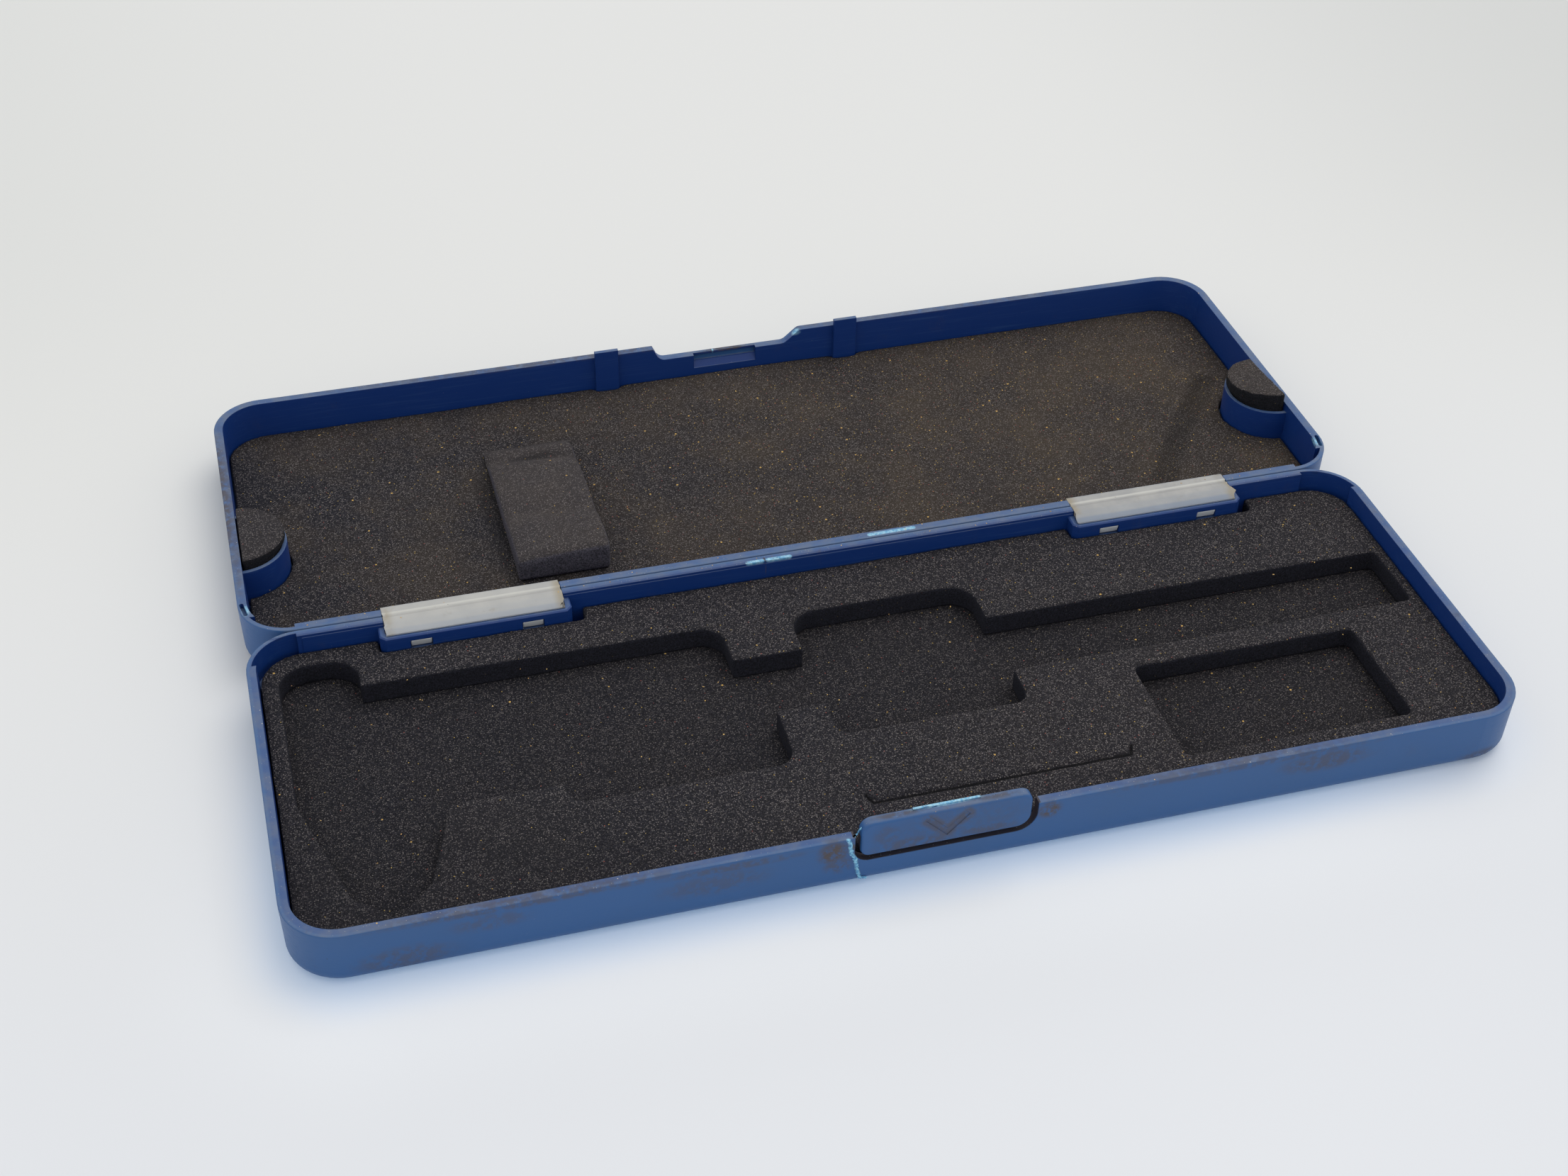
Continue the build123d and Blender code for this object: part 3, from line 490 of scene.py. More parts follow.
def strip_plastic(name):
    """Milky, matt plastic, bluer where the leaf's edge thins over the blue wall."""
    paint = Paint(name)
    side = paint.y - AXIS_Y
    cloud = paint.noise(7.0, 4.0, 0.6)
    rub = paint.noise(1.0, 3.0, 0.6, paint.stretched(8.0, 0.7, 0.7))
    shade = paint.mix(cloud.between(0.35, 0.68), MILKY, MILKY_WARM)
    shade = paint.mix(side.between(-1.6, -3.0) * 0.5, shade, MILKY_COOL)
    shade = paint.mix(rub.between(0.5, 0.8) * 0.12, shade, MILKY_RUBBED)

    # Bands along the strip: the thin edges of both leaves, the barbs and the crease
    band = side.between(-3.9, -4.6) * 0.5 + side.between(2.4, 3.1) * 0.3
    shade = paint.mix(band, shade, THIN_EDGE)
    # The barbs are painted near white, as painted light to offset the shade down in their
    # windows
    shade = paint.mix(side.between(-5.4, -5.7), shade, BARB_PAINTED_LIGHT)
    shade = paint.mix(paint.x.between(0.0, -90.0) * 0.4, shade, MILKY_LEFT)
    crease = abs(side - 0.55).between(0.5, 0.15)
    shade = paint.mix(crease * 0.7, shade, MILKY_CREASE)
    shade = paint.mix(abs(side + 0.5).between(0.3, 0.1) * 0.3, shade, CREASE_SHADE)

    # Stains, thickest at the ends, and dust
    stain = paint.noise(3.4, 4.0, 0.68).between(0.58, 0.74)
    shade = paint.mix(stain * 0.28, shade, STRIP_STAIN)
    ends = abs(abs(paint.x) - STRIP_MIDDLE).between(STRIP_HALF - 2.6, STRIP_HALF - 0.3)
    shade = paint.mix(ends * cloud.between(0.35, 0.55) * 0.6, shade, STRIP_END_STAIN)
    shade = paint.mix(paint.specks(1.4, 0.07, 0.3), shade, STRIP_DUST)
    shade = paint.mix(paint.specks(2.0, 0.1, 0.16), shade, STRIP_DIRT)
    roughness = 0.5 + rub.between(0.4, 0.75) * 0.12
    height = rub * 0.2 + paint.noise(0.6, 2.0, 0.5) * 0.3
    return paint.finish(shade, roughness, height, height_mm=0.03, Specular_IOR_Level=0.4)


def put_material(piece, material):
    piece.data.materials.clear()
    piece.data.materials.append(material)


def new_object(name, data):
    """Puts a mesh, a lamp or a camera into the scene."""
    added = bpy.data.objects.new(name, data)
    bpy.context.scene.collection.objects.link(added)
    return added


def new_piece(name, work):
    """A piece made from a finished work mesh, which is used up."""
    mesh = bpy.data.meshes.new(name)
    work.to_mesh(mesh)
    work.free()
    return new_object(name, mesh)


def smooth_faces(mesh, sharp_angle):
    """Smooth shading, with edges kept sharp past an angle."""
    work = bmesh.new()
    work.from_mesh(mesh)
    for face in work.faces:
        face.smooth = True
    for edge in work.edges:
        edge.smooth = len(edge.link_faces) == 2 and edge.calc_face_angle() < sharp_angle
    work.to_mesh(mesh)
    work.free()


# Corners of neighbouring triangles that lie this close are one
MERGE_GAP = 0.002


def remeshed(name, node, voxel_mm):
    """A foam piece: an even, fine skin over a CAD node's shape."""
    work = bmesh.new()
    work.from_mesh(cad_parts[node].data)
    bmesh.ops.remove_doubles(work, verts=work.verts, dist=MERGE_GAP * MM)
    piece = new_piece(name, work)
    remesh = piece.modifiers.new("skin", "REMESH")
    remesh.mode = "VOXEL"
    remesh.voxel_size = voxel_mm * MM
    graph = bpy.context.evaluated_depsgraph_get()
    mesh = bpy.data.meshes.new_from_object(piece.evaluated_get(graph))
    piece.modifiers.clear()
    piece.data = mesh
    return piece


# A foam piece's flat foot, and the height above it where its surface is free to give
FLAT_FOOT = 0.3
FREE_HEIGHT = 1.5


def soften(piece, rounds, foot, give):
    """Rounds the cut edges, keeps the foot flat and lets the top rise and sink a little."""
    work = bmesh.new()
    work.from_mesh(piece.data)
    for _ in range(rounds):
        bmesh.ops.smooth_vert(work, verts=work.verts, factor=0.5,
                              use_axis_x=True, use_axis_y=True, use_axis_z=True)
    for vert in work.verts:
        place = vert.co / MM
        height = place.z - foot
        if height < FLAT_FOOT:
            vert.co.z = foot * MM
            continue
        slow = noise.noise(place / 9.0) * 0.08 + noise.noise(place / 2.4) * 0.06
        quick = noise.noise(place / 0.8) * 0.05
        lift = min(height / FREE_HEIGHT, 1.0)
        vert.co += vert.normal * (slow + quick - 0.07) * lift * MM
        if give:
            vert.co += give(place) * lift * MM
    for face in work.faces:
        face.smooth = True
    work.to_mesh(piece.data)
    work.free()


def bell(distance, width):
    """1 at a distance of 0, falling smoothly to nothing at about twice the width."""
    return math.exp(-(distance / width) ** 2)


def clamped(value):
    return max(0.0, min(1.0, value))


def waves(place, seed):
    """Long, low waves, from -1 to 1."""
    return noise.noise(Vector((place.x / 32, place.y / 24, seed)))


def plan_gap(place, line):
    """How far a place is from a broken line, in plan."""
    flat = Vector((place.x, place.y, 0.0))
    gaps = []
    for start, end in zip(line, line[1:]):
        start, end = Vector(start), Vector(end)
        share = clamped((flat - start).dot(end - start) / (end - start).length_squared)
        gaps.append((flat - start.lerp(end, share)).length)
    return min(gaps)


def lid_sheet_give(place):
    """Low waves in the lid's sheet, a soft fold near its right end, and old dents."""
    gap = plan_gap(place, FOLD)
    fold = 0.12 * bell(gap - 4.5, 2.5) - 0.75 * bell(gap, 1.7)
    dent = -0.35 * bell(Vector((place.x + 96, place.y - LID_SEAM - 30, 0)).length, 6.0)
    return Vector((0, 0, waves(place, 0.0) * 0.25 - 0.15 + fold + dent))


def insert_give(place):
    """Low waves, with the slit pressed in."""
    slit = -0.7 * bell(plan_gap(place, SLIT), 0.45) if place.z > INSERT_TOP - 1.5 else 0.0
    return Vector((0, 0, waves(place, 4.0) * 0.16 - 0.1 + slit))


def block_give(place):
    """The block leans to its left, its top is crowned, and two old dents cross it."""
    low, high = BLOCK_LOW, BLOCK_HIGH
    along = (place.y - low.y) / (high.y - low.y)
    across = (place.x - low.x) / (high.x - low.x) * 2 - 1
    bent = along + 0.04 * across
    dents = (-0.8 * bell(bent - 0.36, 0.07) - 1.2 * bell(bent - 0.84, 0.05)
             + 0.5 * bell(bent - 0.93, 0.05))
    nose = -0.5 * bell(along, 0.03)
    lean = 0.6 * across - 0.5 * across ** 4
    crown = 0.4 * bell(along - 0.15, 0.14)
    return Vector((0, 0, (dents + nose + lean + crown) * clamped((place.z - low.z) / 2.5)))


def pad_give(place):
    """The pads swell over their posts' edge, on the side away from the hinge."""
    side = "right" if place.x > 0 else "left"
    low, high = PAD_BOXES[side]
    clear = clamped((place.z - POST_TOP - 0.35) / 0.6)
    back = clamped((place.y - low.y) / (high.y - low.y) * 1.6 - 0.5)
    inward = -1 if side == "right" else 1
    inner_edge = low.x if inward < 0 else high.x
    toward = max(0.0, 1 - abs(place.x - inner_edge) / 7.0)
    return Vector((inward * 0.95 * toward * clear, 0.95 * back * clear,
                   waves(place, 7.0) * 0.3 + 0.15))


def foam_pieces():
    """The six foam pieces, each a padded piece in its CAD solid's place."""
    base_foam = foam(
        "base_foam", side_tone=(58, 58, 70), warmth=0.03, crumb_share=0.8,
        # The slit, painted dark as painted shade down in it
        lines=[(SLIT, 0.45, 0.92)],
        # A darker stretch towards the left front
        dark_patches=[((-100.0, FRONT + 4.0, INSERT_TOP), (80.0, 38.0, 6.0), 0.34)],
        bare_and_shaded_below=INSERT_TOP - 1.2)
    lid_foam = foam(
        "lid_foam", side_tone=(60, 57, 58), warmth=0.2, crumb_share=2.6,
        # The old fold, painted dark as painted shade in its crease
        lines=[(FOLD, 4.2, 0.34)],
        # Painted shadow beside the block's left side
        dark_patches=[((-66.0, LID_SEAM + 42.0, LID_SHEET_TOP), (4.5, 24.0, 3.0), 0.5)])
    block_foam = foam(
        # The block's sides are painted much lighter than the other pieces', as painted light
        # on its near face
        "block_foam", side_tone=(128, 123, 134), warmth=0.12, crumb_share=0.9, paleness=0.14,
        # Painted shade where the block's top dips at its far end
        dark_patches=[((-52.0, LID_SEAM + 55.5, 5.0), (14.0, 3.2, 4.0), 0.75),
                 ((-54.0, LID_SEAM + 62.0, 4.6), (14.0, 3.0, 4.0), 0.35)])
    pad_foam = foam("pad_foam", side_tone=(50, 50, 56), warmth=0.09, crumb_share=0.7,
                    paleness=0.07)

    # Voxels in millimetres, and rounds of smoothing
    plan = (
        ("base_inlay", "base_foam_insert", "base", base_foam, 0.55, 2, insert_give, 0.95),
        ("base_pad", "base_foam_backing", "base", base_foam, 0.9, 2, None, 0.95),
        ("lid_pad", "lid_foam_sheet", "lid", lid_foam, 0.75, 2, lid_sheet_give, 0.95),
        ("lid_block", "lid_foam_block", "lid", block_foam, 0.45, 9, block_give, 0.9),
        ("left_post_foam", "post_pad_left", "lid", pad_foam, 0.35, 3, pad_give, 0.95),
        ("right_post_foam", "post_pad_right", "lid", pad_foam, 0.35, 3, pad_give, 0.95),
    )
    for name, node, body, material, voxel, rounds, give, fill in plan:
        piece = remeshed(name, node, voxel)
        soften(piece, rounds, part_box(node)[0].z / MM, give)
        put_material(piece, material)
        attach(piece, body)
        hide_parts(node)


# A strip's section: its leaves and plugs reach so far from the seam of their own tray
BASE_LEAF = 5.4
BASE_PLUG = 4.2
LID_LEAF = 3.1
LID_PLUG = 2.5
PLUG_THICKNESS = 1.1
LEAF_THICKNESS = 1.0
STRIP_STEPS = 64
STRIP_SHARP_ANGLE = math.radians(38)

# The strips' barbs, and how far their lower edges are drawn in and up
BARB_SPACING = 23.6
BASE_BARB_SIZE = Vector((4.4, 1.9, 2.0))
LID_BARB_SIZE = Vector((4.4, 0.85, 2.0))
BARB_MIDDLE = RIM - 3.75
BARB_TAPER = 0.45
BARB_RISE = 0.3
BARB_BEVEL = 0.12


def strip_end_shift(side, place, outer):
    """How far a torn or trimmed end of a strip stands out from a straight one."""
    away = AXIS_Y - place.y
    ragged = noise.noise(Vector((place.y * 1.3, place.z * 0.6, place.x))) * 0.24
    if side == "right" and outer > 0:
        return ragged + 0.85 * bell(away - 3.6, 0.9)
    if side == "right":
        return ragged - 0.45 * bell(away - 4.9, 1.2)
    if outer > 0:
        return ragged - 1.1 * clamped((away - 4.2) / 1.1)
    return ragged


def strip_section(foot, under):
    """A strip's section, as Y and Z, from the base's leaf over the crease to the plugs."""
    base_edge = BASE_SEAM - BASE_LEAF
    base_plug = BASE_SEAM - BASE_PLUG
    lid_edge = LID_SEAM + LID_LEAF
    lid_plug = LID_SEAM + LID_PLUG
    top = RIM
    return (
        (base_edge, under), (base_edge, top - 0.78), (base_edge + 0.25, top - 0.62),
        (base_edge + 1.0, top - 0.4), (base_edge + 1.9, top - 0.12),
        (base_edge + 2.4, top - 0.04), (AXIS_Y - 1.2, top + 0.02), (AXIS_Y - 0.62, top + 0.08),
        (AXIS_Y - 0.36, top + 0.06), (AXIS_Y - 0.14, top - 0.1), (AXIS_Y + 0.14, top - 0.1),
        (AXIS_Y + 0.36, top + 0.06), (AXIS_Y + 0.62, top + 0.08), (AXIS_Y + 1.2, top + 0.02),
        (lid_edge - 0.5, top - 0.06), (lid_edge - 0.1, top - 0.25), (lid_edge, top - 0.6),
        (lid_edge, under), (lid_plug, under), (lid_plug, foot),
        (lid_plug - PLUG_THICKNESS, foot), (lid_plug - PLUG_THICKNESS, under),
        (AXIS_Y + 0.8, under), (AXIS_Y + 0.2, top - 0.5), (AXIS_Y - 0.2, top - 0.5),
        (AXIS_Y - 0.8, under), (base_plug + PLUG_THICKNESS, under),
        (base_plug + PLUG_THICKNESS, foot), (base_plug, foot), (base_plug, under),
    )


def add_barb(work, middle_x, tip, way, size):
    """A barb on a plug, with its tip at a place along Y, pointing to +Y (1) or to -Y (-1)."""
    barb = bmesh.ops.create_cube(work, size=1.0)["verts"]
    bmesh.ops.scale(work, verts=barb, vec=size * MM)
    middle = Vector((middle_x, tip - way * size.y / 2, BARB_MIDDLE))
    bmesh.ops.translate(work, verts=barb, vec=middle * MM)
    lower = [vert for vert in barb if (vert.co.y / MM - tip) * way > -0.1
             and vert.co.z / MM < BARB_MIDDLE]
    bmesh.ops.translate(work, verts=lower, vec=Vector((0, -way * BARB_TAPER, BARB_RISE)) * MM)
    edges = list({edge for vert in barb for edge in vert.link_edges})
    bmesh.ops.bevel(work, geom=edges, offset=BARB_BEVEL * MM, offset_type="OFFSET", segments=1,
                    affect="EDGES", profile=0.5, material=-1)


def hinge_strip(side):
    """One strip: both leaves in one moulding, joined by a thin crease, with its barbs."""
    low, high = (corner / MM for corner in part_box(f"hinge_leaf_{side}_base"))
    lid_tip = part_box(f"hinge_leaf_{side}_lid")[1].y / MM
    under = high.z - LEAF_THICKNESS
    work = bmesh.new()
    face = work.faces.new([work.verts.new(Vector((low.x, y, z)) * MM)
                           for y, z in strip_section(low.z + 0.1, under)])
    step = Vector(((high.x - low.x) / STRIP_STEPS * MM, 0, 0))
    for _ in range(STRIP_STEPS):
        grown = bmesh.ops.extrude_face_region(work, geom=[face])
        moved = [part for part in grown["geom"] if isinstance(part, bmesh.types.BMVert)]
        bmesh.ops.translate(work, verts=moved, vec=step)
        work.faces.remove(face)
        face = next(part for part in grown["geom"] if isinstance(part, bmesh.types.BMFace))
    bmesh.ops.holes_fill(work, edges=work.edges)
    bmesh.ops.recalc_face_normals(work, faces=work.faces)
    for vert in work.verts:
        place = vert.co / MM
        if place.z > under + 0.05:
            bow = noise.noise(Vector((place.x / 11, place.y / 9, 3.0))) * 0.08
            pit = noise.noise(Vector((place.x / 1.3, place.y / 1.1, 9.0))) * 0.025
            vert.co.z += (bow + pit - 0.03) * MM
            for end, outer in ((low.x, -1), (high.x, 1)):
                if abs(place.x - end) < 0.3:
                    vert.co.x += strip_end_shift(side, place, outer) * MM
    middle = (low.x + high.x) / 2
    for barb_x in (middle - BARB_SPACING / 2, middle + BARB_SPACING / 2):
        add_barb(work, barb_x, low.y, -1, BASE_BARB_SIZE)
        add_barb(work, barb_x, lid_tip, 1, LID_BARB_SIZE)
    piece = new_piece(f"{side}_hinge_strip", work)
    smooth_faces(piece.data, STRIP_SHARP_ANGLE)
    put_material(piece, strip_plastic(f"{side}_strip_plastic"))
    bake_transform(piece)
    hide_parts(f"hinge_leaf_{side}_base", f"hinge_leaf_{side}_lid")


# Torn plastic: how close its lumps lie, and the angle past which their edges are sharp
LUMP_SPACING = 0.28
TORN_SHARP_ANGLE = math.radians(50)


def torn_plastic(name, body, strands, seed):
    """Pale, torn lips of plastic: chains of flattened lumps that run into each other."""
    rng = random.Random(seed)
    work = bmesh.new()
    for points, width, thickness in strands:
        for start, end in zip(points, points[1:]):
            start, end = Vector(start), Vector(end)
            count = max(2, round((end - start).length / LUMP_SPACING))
            lean = math.atan2(end.z - start.z, end.x - start.x)
            for index in range(count):
                lump = bmesh.ops.create_icosphere(work, subdivisions=2, radius=1.0)["verts"]
                size = Vector((rng.uniform(0.3, 0.62), thickness * rng.uniform(0.6, 1.2),
                               width * rng.uniform(0.3, 1.0)))
                bmesh.ops.scale(work, verts=lump, vec=size * MM)
                turn = Matrix.Rotation(-lean + rng.uniform(-0.5, 0.5), 3, "Y")
                bmesh.ops.rotate(work, verts=lump, cent=(0, 0, 0), matrix=turn)
                place = start.lerp(end, (index + rng.uniform(0.2, 0.8)) / count)
                place += Vector((rng.uniform(-0.12, 0.12), 0, rng.uniform(-0.1, 0.1)))
                bmesh.ops.translate(work, verts=lump, vec=place * MM)
    for vert in work.verts:
        place = vert.co / MM
        vert.co += Vector((noise.noise(place * 2.7) * 0.14, noise.noise(place * 2.1) * 0.05,
                           noise.noise(place * 3.3) * 0.12)) * MM
        # Nothing stands above the rim, apart from where the lid's notch leaves room
        room = RIM + max(0.0, vert.co.x / MM - NOTCH_START) * NOTCH_RISE
        vert.co.z = min(vert.co.z, room * MM)
    piece = new_piece(name, work)
    smooth_faces(piece.data, TORN_SHARP_ANGLE)
    paint = Paint(name + "_plastic")
    fibre = paint.noise(0.5, 4.0, 0.7)
    shade = paint.mix(fibre.between(0.36, 0.62), TORN_BLUE, TORN_WHITE)
    put_material(piece, paint.finish(shade, 0.42, fibre, height_mm=0.06))
    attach(piece, body)


def crumbs(name, body, spots, seed):
    """Crumbs of sawdust that have stuck to foam and rims."""
    rng = random.Random(seed)
    work = bmesh.new()
    for count, low, high in spots:
        for _ in range(count):
            place = Vector(rng.uniform(a, b) for a, b in zip(low, high))
            crumb = bmesh.ops.create_icosphere(work, subdivisions=1, radius=1.0)["verts"]
            size = Vector((rng.uniform(0.08, 0.26), rng.uniform(0.07, 0.17),
                           rng.uniform(0.05, 0.12)))
            bmesh.ops.scale(work, verts=crumb, vec=size * MM)
            bmesh.ops.rotate(work, verts=crumb, cent=(0, 0, 0),
                             matrix=Matrix.Rotation(rng.uniform(0, math.pi), 3, "Z"))
            bmesh.ops.translate(work, verts=crumb, vec=place * MM)
            for vert in crumb:
                vert.co += Vector(rng.uniform(-0.03, 0.03) for _ in range(3)) * MM
    piece = new_piece(name, work)
    paint = Paint(name + "_wood")
    shade = paint.mix(paint.cell_draws(3.0), WOOD_PALE, WOOD_DARK)
    put_material(piece, paint.finish(shade, 0.8, paint.noise(0.15), height_mm=0.05))
    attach(piece, body)


def case_materials():
    """Blue plastic on the two trays and the latch, each with its own marks."""
    back = FRONT + WALL
    scratch_y = BASE_SEAM - 1.7
    base_marks = {
        "outline": ((LEFT, FRONT), (RIGHT, BASE_SEAM)),
        "dust_and_top_light": 0.55,
        "grime_and_shade": [
            # Beside the crack and the latch
            ((-23.0, FRONT, 10.2), (4.2, 3.0, 4.0), 1.0),
            ((-22.0, FRONT, 6.5), (4.0, 3.0, 3.0), 0.6),
            # The bent sliver between the crack and the tab: grime, and painted shade where it
            # is turned from the light
            ((-19.1, FRONT, 10.6), (0.9, 1.5, 2.8), 1.0),
            ((20.3, FRONT, 10.8), (3.4, 3.0, 2.8), 1.0),
            # A nick in the back rim
            ((-13.4, BASE_SEAM - 1.6, 11.5), (0.14, 1.6, 3.2), 1.0),
            # Along the front wall and its rim
            ((-42.0, FRONT, 11.6), (18.0, 3.0, 1.4), 0.55),
            ((-46.0, FRONT, 8.0), (14.0, 3.0, 4.0), 0.4),
            ((60.0, FRONT, 12.6), (40.0, 3.5, 1.4), 0.5),
            ((-80.0, FRONT, 12.8), (40.0, 3.0, 1.7), 0.6),
            ((-104.0, FRONT, 4.0), (12.0, 4.0, 4.5), 0.5),
            ((-88.0, FRONT, 9.5), (10.0, 4.0, 3.0), 0.4),
            ((79.0, FRONT, 9.6), (13.0, 3.0, 3.6), 0.6),
            ((115.0, FRONT + 2.0, 2.4), (7.0, 5.0, 2.2), 0.6),
        ],
        # Dirt and painted shade down in the gaps round the tab and in the nick in the back rim
        "dark": [((TAB_LOW.x - 1.7, FRONT + 0.12, TAB_LOW.z - 0.6),
                  (TAB_HIGH.x + 1.7, back + 1.0, RIM + 0.4), 0.97),
                 ((-13.8, BASE_SEAM - 2.3, RIM - 1.0),
                  (-13.3, BASE_SEAM - 0.7, RIM + 0.2), 0.9)],
        "stress": [((-118.0, BASE_SEAM - 9.0, 12.6), (1.2, 1.6, 0.9))],
        "lines": [([(x, FRONT, z) for x, z in CRACK], 0.5),
                  ([(-17.3, scratch_y - 0.05, RIM), (-14.2, scratch_y, RIM)], 0.75),
                  ([(-12.8, scratch_y, RIM), (-8.0, scratch_y, RIM)], 0.75)],
    }
    lid_marks = {
        "outline": ((LEFT, LID_SEAM), (RIGHT, LID_FRONT)),
        "grime_and_shade": [
            # The left rim and the far one, and the catch recess
            ((LEFT, LID_SEAM + 50.0, RIM), (2.2, 34.0, 2.8), 0.85),
            ((LEFT + 1.0, LID_SEAM + 44.0, RIM), (1.8, 44.0, 1.2), 0.55),
            ((-35.0, LID_FRONT, 13.0), (95.0, 3.0, 0.9), 0.6),
            ((60.0, LID_FRONT, 13.0), (60.0, 3.0, 0.9), 0.4),
            ((0.0, LID_FRONT - 0.8, 9.6), (8.5, 1.6, 0.5), 0.95),
        ],
        # Dirt and painted shade on the catch recess's back wall
        "dark": [((-8.4, LID_FRONT - 1.1, 7.7), (7.6, LID_FRONT - 0.3, 9.15), 0.8)],
        "stress": [
            # Both ends beside the hinge, the notch's steep side and the catch recess
            ((-123.4, LID_SEAM + 8.8, 12.6), (1.3, 2.6, 0.9)),
            ((123.2, LID_SEAM + 8.8, 12.6), (1.3, 2.6, 0.9)),
            ((17.6, LID_FRONT - 1.4, 12.3), (2.2, 1.2, 1.1)),
            ((-3.2, LID_FRONT - 0.7, 9.6), (0.3, 0.9, 0.7)),
        ],
        "lines": [([(11.2, LID_SEAM + 1.0, RIM), (21.3, LID_SEAM + 1.1, RIM)], 0.7)],
    }
    scar_y = back - 0.3
    gap_top = RIM - 0.4
    latch_marks = {
        "outline": ((LEFT, FRONT), (RIGHT, BASE_SEAM)),
        "depth": 2.3,
        "grime_and_shade": [
            # The tab's face, then its top edge
            ((-7.0, FRONT, 8.8), (11.0, 1.5, 2.6), 0.6),
            ((-12.5, FRONT, 12.0), (4.0, 1.5, 4.0), 0.4),
            ((TAB_MIDDLE + 2.0, FRONT, 11.6), (20.0, 1.5, 7.0), 0.24),
            ((8.0, FRONT, 9.0), (8.0, 1.5, 2.0), 0.55),
            ((TAB_MIDDLE - 10.0, FRONT + 1.2, TAB_HIGH.z), (8.0, 1.2, 0.7), 0.8),
            ((TAB_MIDDLE + 10.0, FRONT + 1.2, TAB_HIGH.z), (7.0, 1.2, 0.7), 0.7),
        ],
        # Dirt rubbed into the pressed arrow
        "smears": [([(-4.3, FRONT, 14.0), (-0.5, FRONT, 10.4), (3.5, FRONT, 14.1)], 2.1, 0.7)],
        # Dirt and painted shade down in the gaps round the tab: its two ends and its foot
        "dark": [
            ((TAB_LOW.x - 1, FRONT + 0.75, TAB_LOW.z - 1),
             (TAB_LOW.x + 0.35, back + 1, gap_top), 0.95),
            ((TAB_HIGH.x - 0.35, FRONT + 0.75, TAB_LOW.z - 1),
             (TAB_HIGH.x + 1, back + 1, gap_top), 0.95),
            ((TAB_LOW.x, FRONT + 0.6, TAB_LOW.z - 1), (TAB_HIGH.x, back + 1, 7.75), 0.95),
        ],
        # The scar where the hook has broken off
        "stress": [((TAB_MIDDLE, scar_y, TAB_HIGH.z), (9.5, 0.75, 0.7))],
        "lines": [([(TAB_MIDDLE - 6.5, scar_y, TAB_HIGH.z),
                    (TAB_MIDDLE + 6.5, scar_y, TAB_HIGH.z)], 0.4)],
        "whitened": 0.95,
    }
    for node, marks in (("base_shell", base_marks), ("lid_shell", lid_marks),
                        ("latch_tab", latch_marks)):
        put_material(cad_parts[node], case_plastic(node + "_plastic", marks))


def table():
    """A white table that runs on past the picture, painted with light and shade, and with
    painted blue bounce light from the case glowing on it.
    """
    work = bmesh.new()
    bmesh.ops.create_grid(work, x_segments=2, y_segments=2, size=TABLE_HALF_METRES)
    top = new_piece("table", work)
    paint = Paint("white_table")
    # The table's colour is painted light and shade: cooler at the front, warmer behind, and
    # darker at the front right and both back corners, where the room's light falls off
    shade = paint.mix(paint.y.between(-120.0, 160.0), TABLE_FRONT, TABLE_BACK)
    for across, along, tone in (((40.0, 260.0), (40.0, -120.0), TABLE_FRONT_RIGHT_SHADE),
                                ((-20.0, -260.0), (60.0, 260.0), TABLE_BACK_LEFT_SHADE),
                                ((100.0, 340.0), (0.0, 200.0), TABLE_BACK_RIGHT_SHADE)):
        corner = paint.x.between(*across) * paint.y.between(*along)
        shade = paint.mix(corner * 0.8, shade, tone)

    # Painted blue bounce light from the case, a glow in the table's emission, strongest at the
    # front wall and fading to both sides
    away = paint.outline_gap((LEFT, FRONT), (RIGHT, BASE_SEAM), CORNER_RADIUS)
    front = paint.y.between(BASE_SEAM, FRONT + 8.0) * 0.85 + 0.15
    front = front * (paint.x.between(RIGHT + 10.0, RIGHT - 60.0) * 0.75 + 0.25)
    front = front * (paint.x.between(LEFT - 14.0, LEFT + 16.0) * 0.45 + 0.55)
    painted_glow = paint.mix(away.between(42.0, -1.0) ** 1.5 * front, BLACK, WIDE_PAINTED_GLOW)
    painted_glow = paint.mix(away.between(12.0, -1.0) * front, painted_glow, NEAR_PAINTED_GLOW)

    # The painted glow is there for the eye and for mirror images, and gives the case no light
    seen = paint.node("ShaderNodeLightPath", output="Is Camera Ray")
    for ray in ("Is Glossy Ray", "Is Transmission Ray"):
        seen = seen.most(paint.node("ShaderNodeLightPath", output=ray))
    glow = paint.mix(seen, BLACK, painted_glow)
    put_material(top, paint.finish(shade, 0.5, Emission_Color=glow, Emission_Strength=1.0))


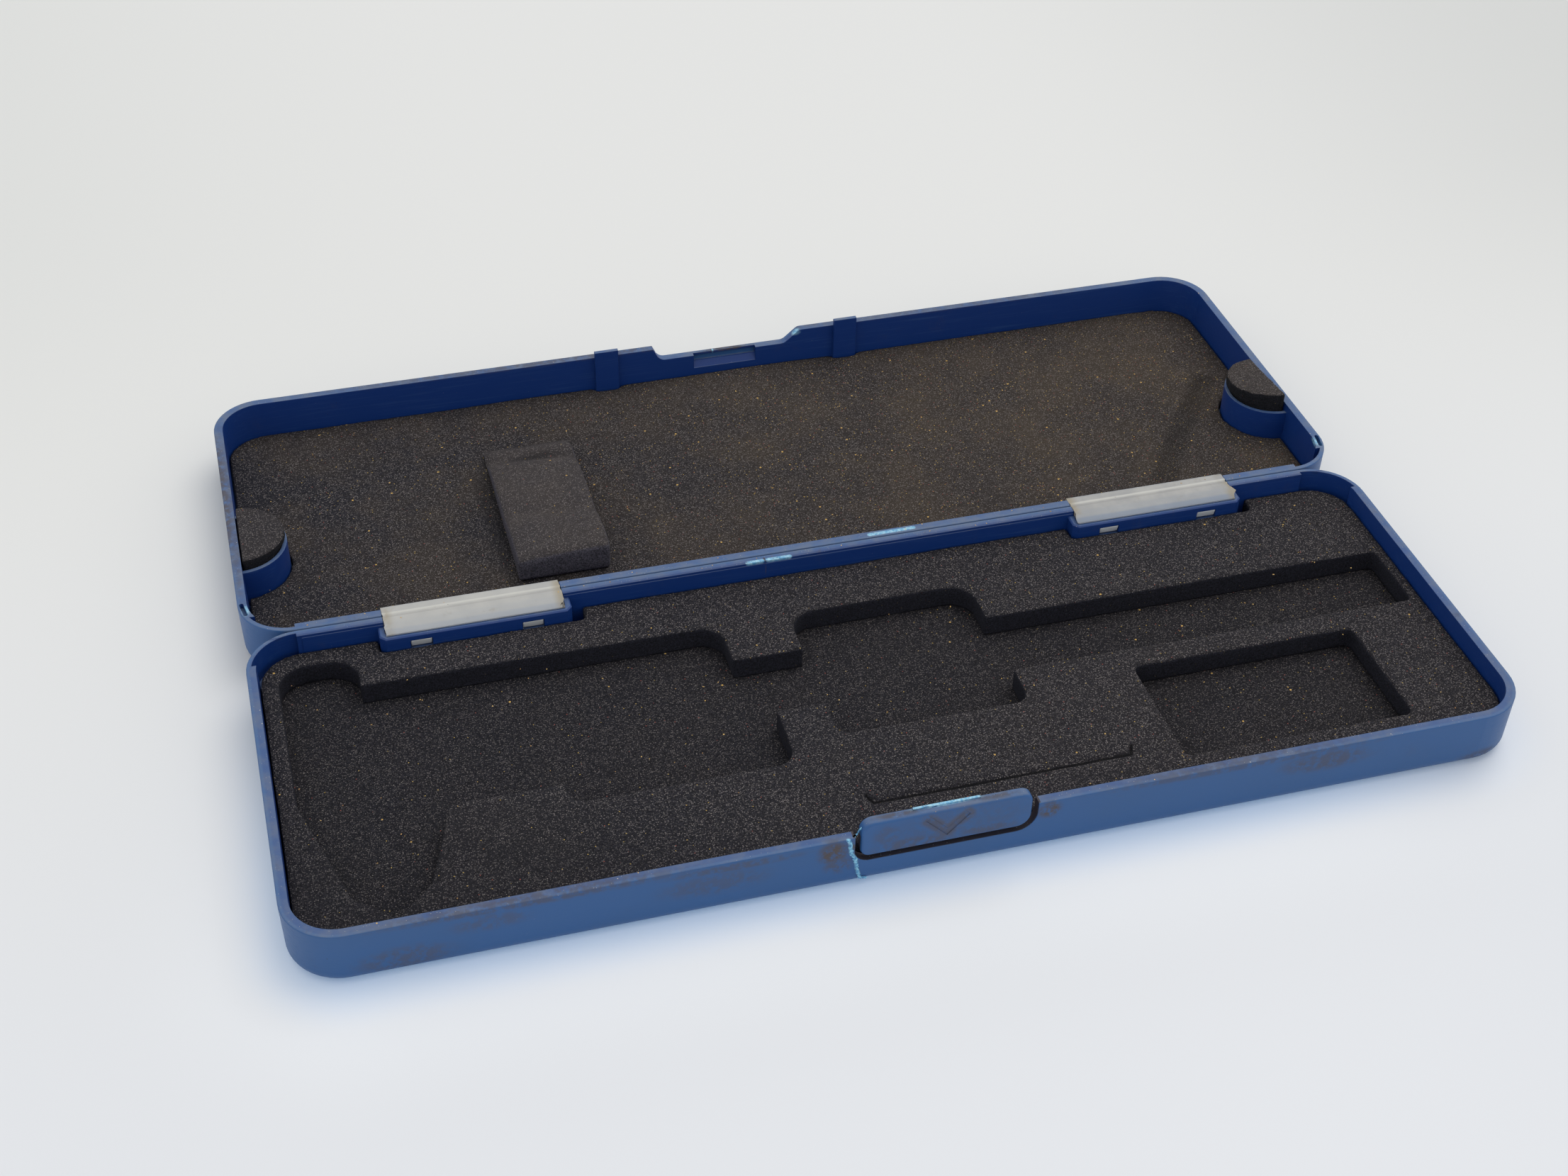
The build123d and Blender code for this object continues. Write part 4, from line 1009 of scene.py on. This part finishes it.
def lights():
    """An evenly lit room, and a wide, soft window that lights the whole table."""
    room = bpy.data.worlds.new("studio")
    room.use_nodes = True
    background = room.node_tree.nodes["Background"].inputs
    background["Color"].default_value = ROOM_TINT
    background["Strength"].default_value = ROOM_STRENGTH
    bpy.context.scene.world = room
    lamp = bpy.data.lights.new("window", "SUN")
    lamp.energy = WINDOW_STRENGTH
    lamp.angle = WINDOW_SPREAD
    lamp.color = WINDOW_TINT
    window = new_object("window", lamp)
    window.rotation_euler = (-WINDOW_DIRECTION).to_track_quat("-Z", "Y").to_euler()


def camera():
    data = bpy.data.cameras.new("camera")
    data.lens = CAMERA_LENS
    data.sensor_width = SENSOR_WIDTH
    holder = new_object("camera", data)
    turn = (CAMERA_AIM - CAMERA_PLACE).to_track_quat("-Z", "Y").to_matrix().to_4x4()
    holder.matrix_world = (Matrix.Translation(CAMERA_PLACE) @ turn
                           @ Matrix.Rotation(CAMERA_ROLL, 4, "Z"))
    bpy.context.scene.camera = holder


case_materials()
foam_pieces()
for strip_side in ("left", "right"):
    hinge_strip(strip_side)
torn_plastic("torn_crack", "base", [
    ([(x, FRONT - 0.02, z) for x, z in CRACK], 0.42, 0.22),
    ([(-17.6, FRONT + 0.1, 1.9), (-16.4, FRONT + 0.25, 1.7)], 0.3, 0.18),
    # The bent sliver's top edge: pale torn plastic, with a painted highlight along it
    ([(-17.8, FRONT + 1.1, 14.3), (-18.7, FRONT + 0.8, 13.6), (-19.3, FRONT + 0.6, 12.6)],
     0.5, 0.2),
], 21)
crumbs("crumbs_in_base", "base", [
    (90, (LEFT + 6, FRONT + 5, INSERT_TOP - 0.05), (RIGHT - 6, BASE_SEAM - 12, INSERT_TOP)),
    (14, (LEFT + 12, BASE_SEAM - 1.6, RIM), (RIGHT - 12, BASE_SEAM - 0.4, RIM)),
], 11)
crumbs("crumbs_in_lid", "lid", [
    (170, (LEFT + 6, LID_SEAM + 6, LID_SHEET_TOP - 0.2),
     (RIGHT - 6, LID_FRONT - 6, LID_SHEET_TOP)),
    (14, (LEFT + 12, LID_SEAM + 0.4, RIM), (RIGHT - 12, LID_SEAM + 1.6, RIM)),
], 12)
table()
lights()
camera()
bpy.context.scene.view_settings.view_transform = "Standard"
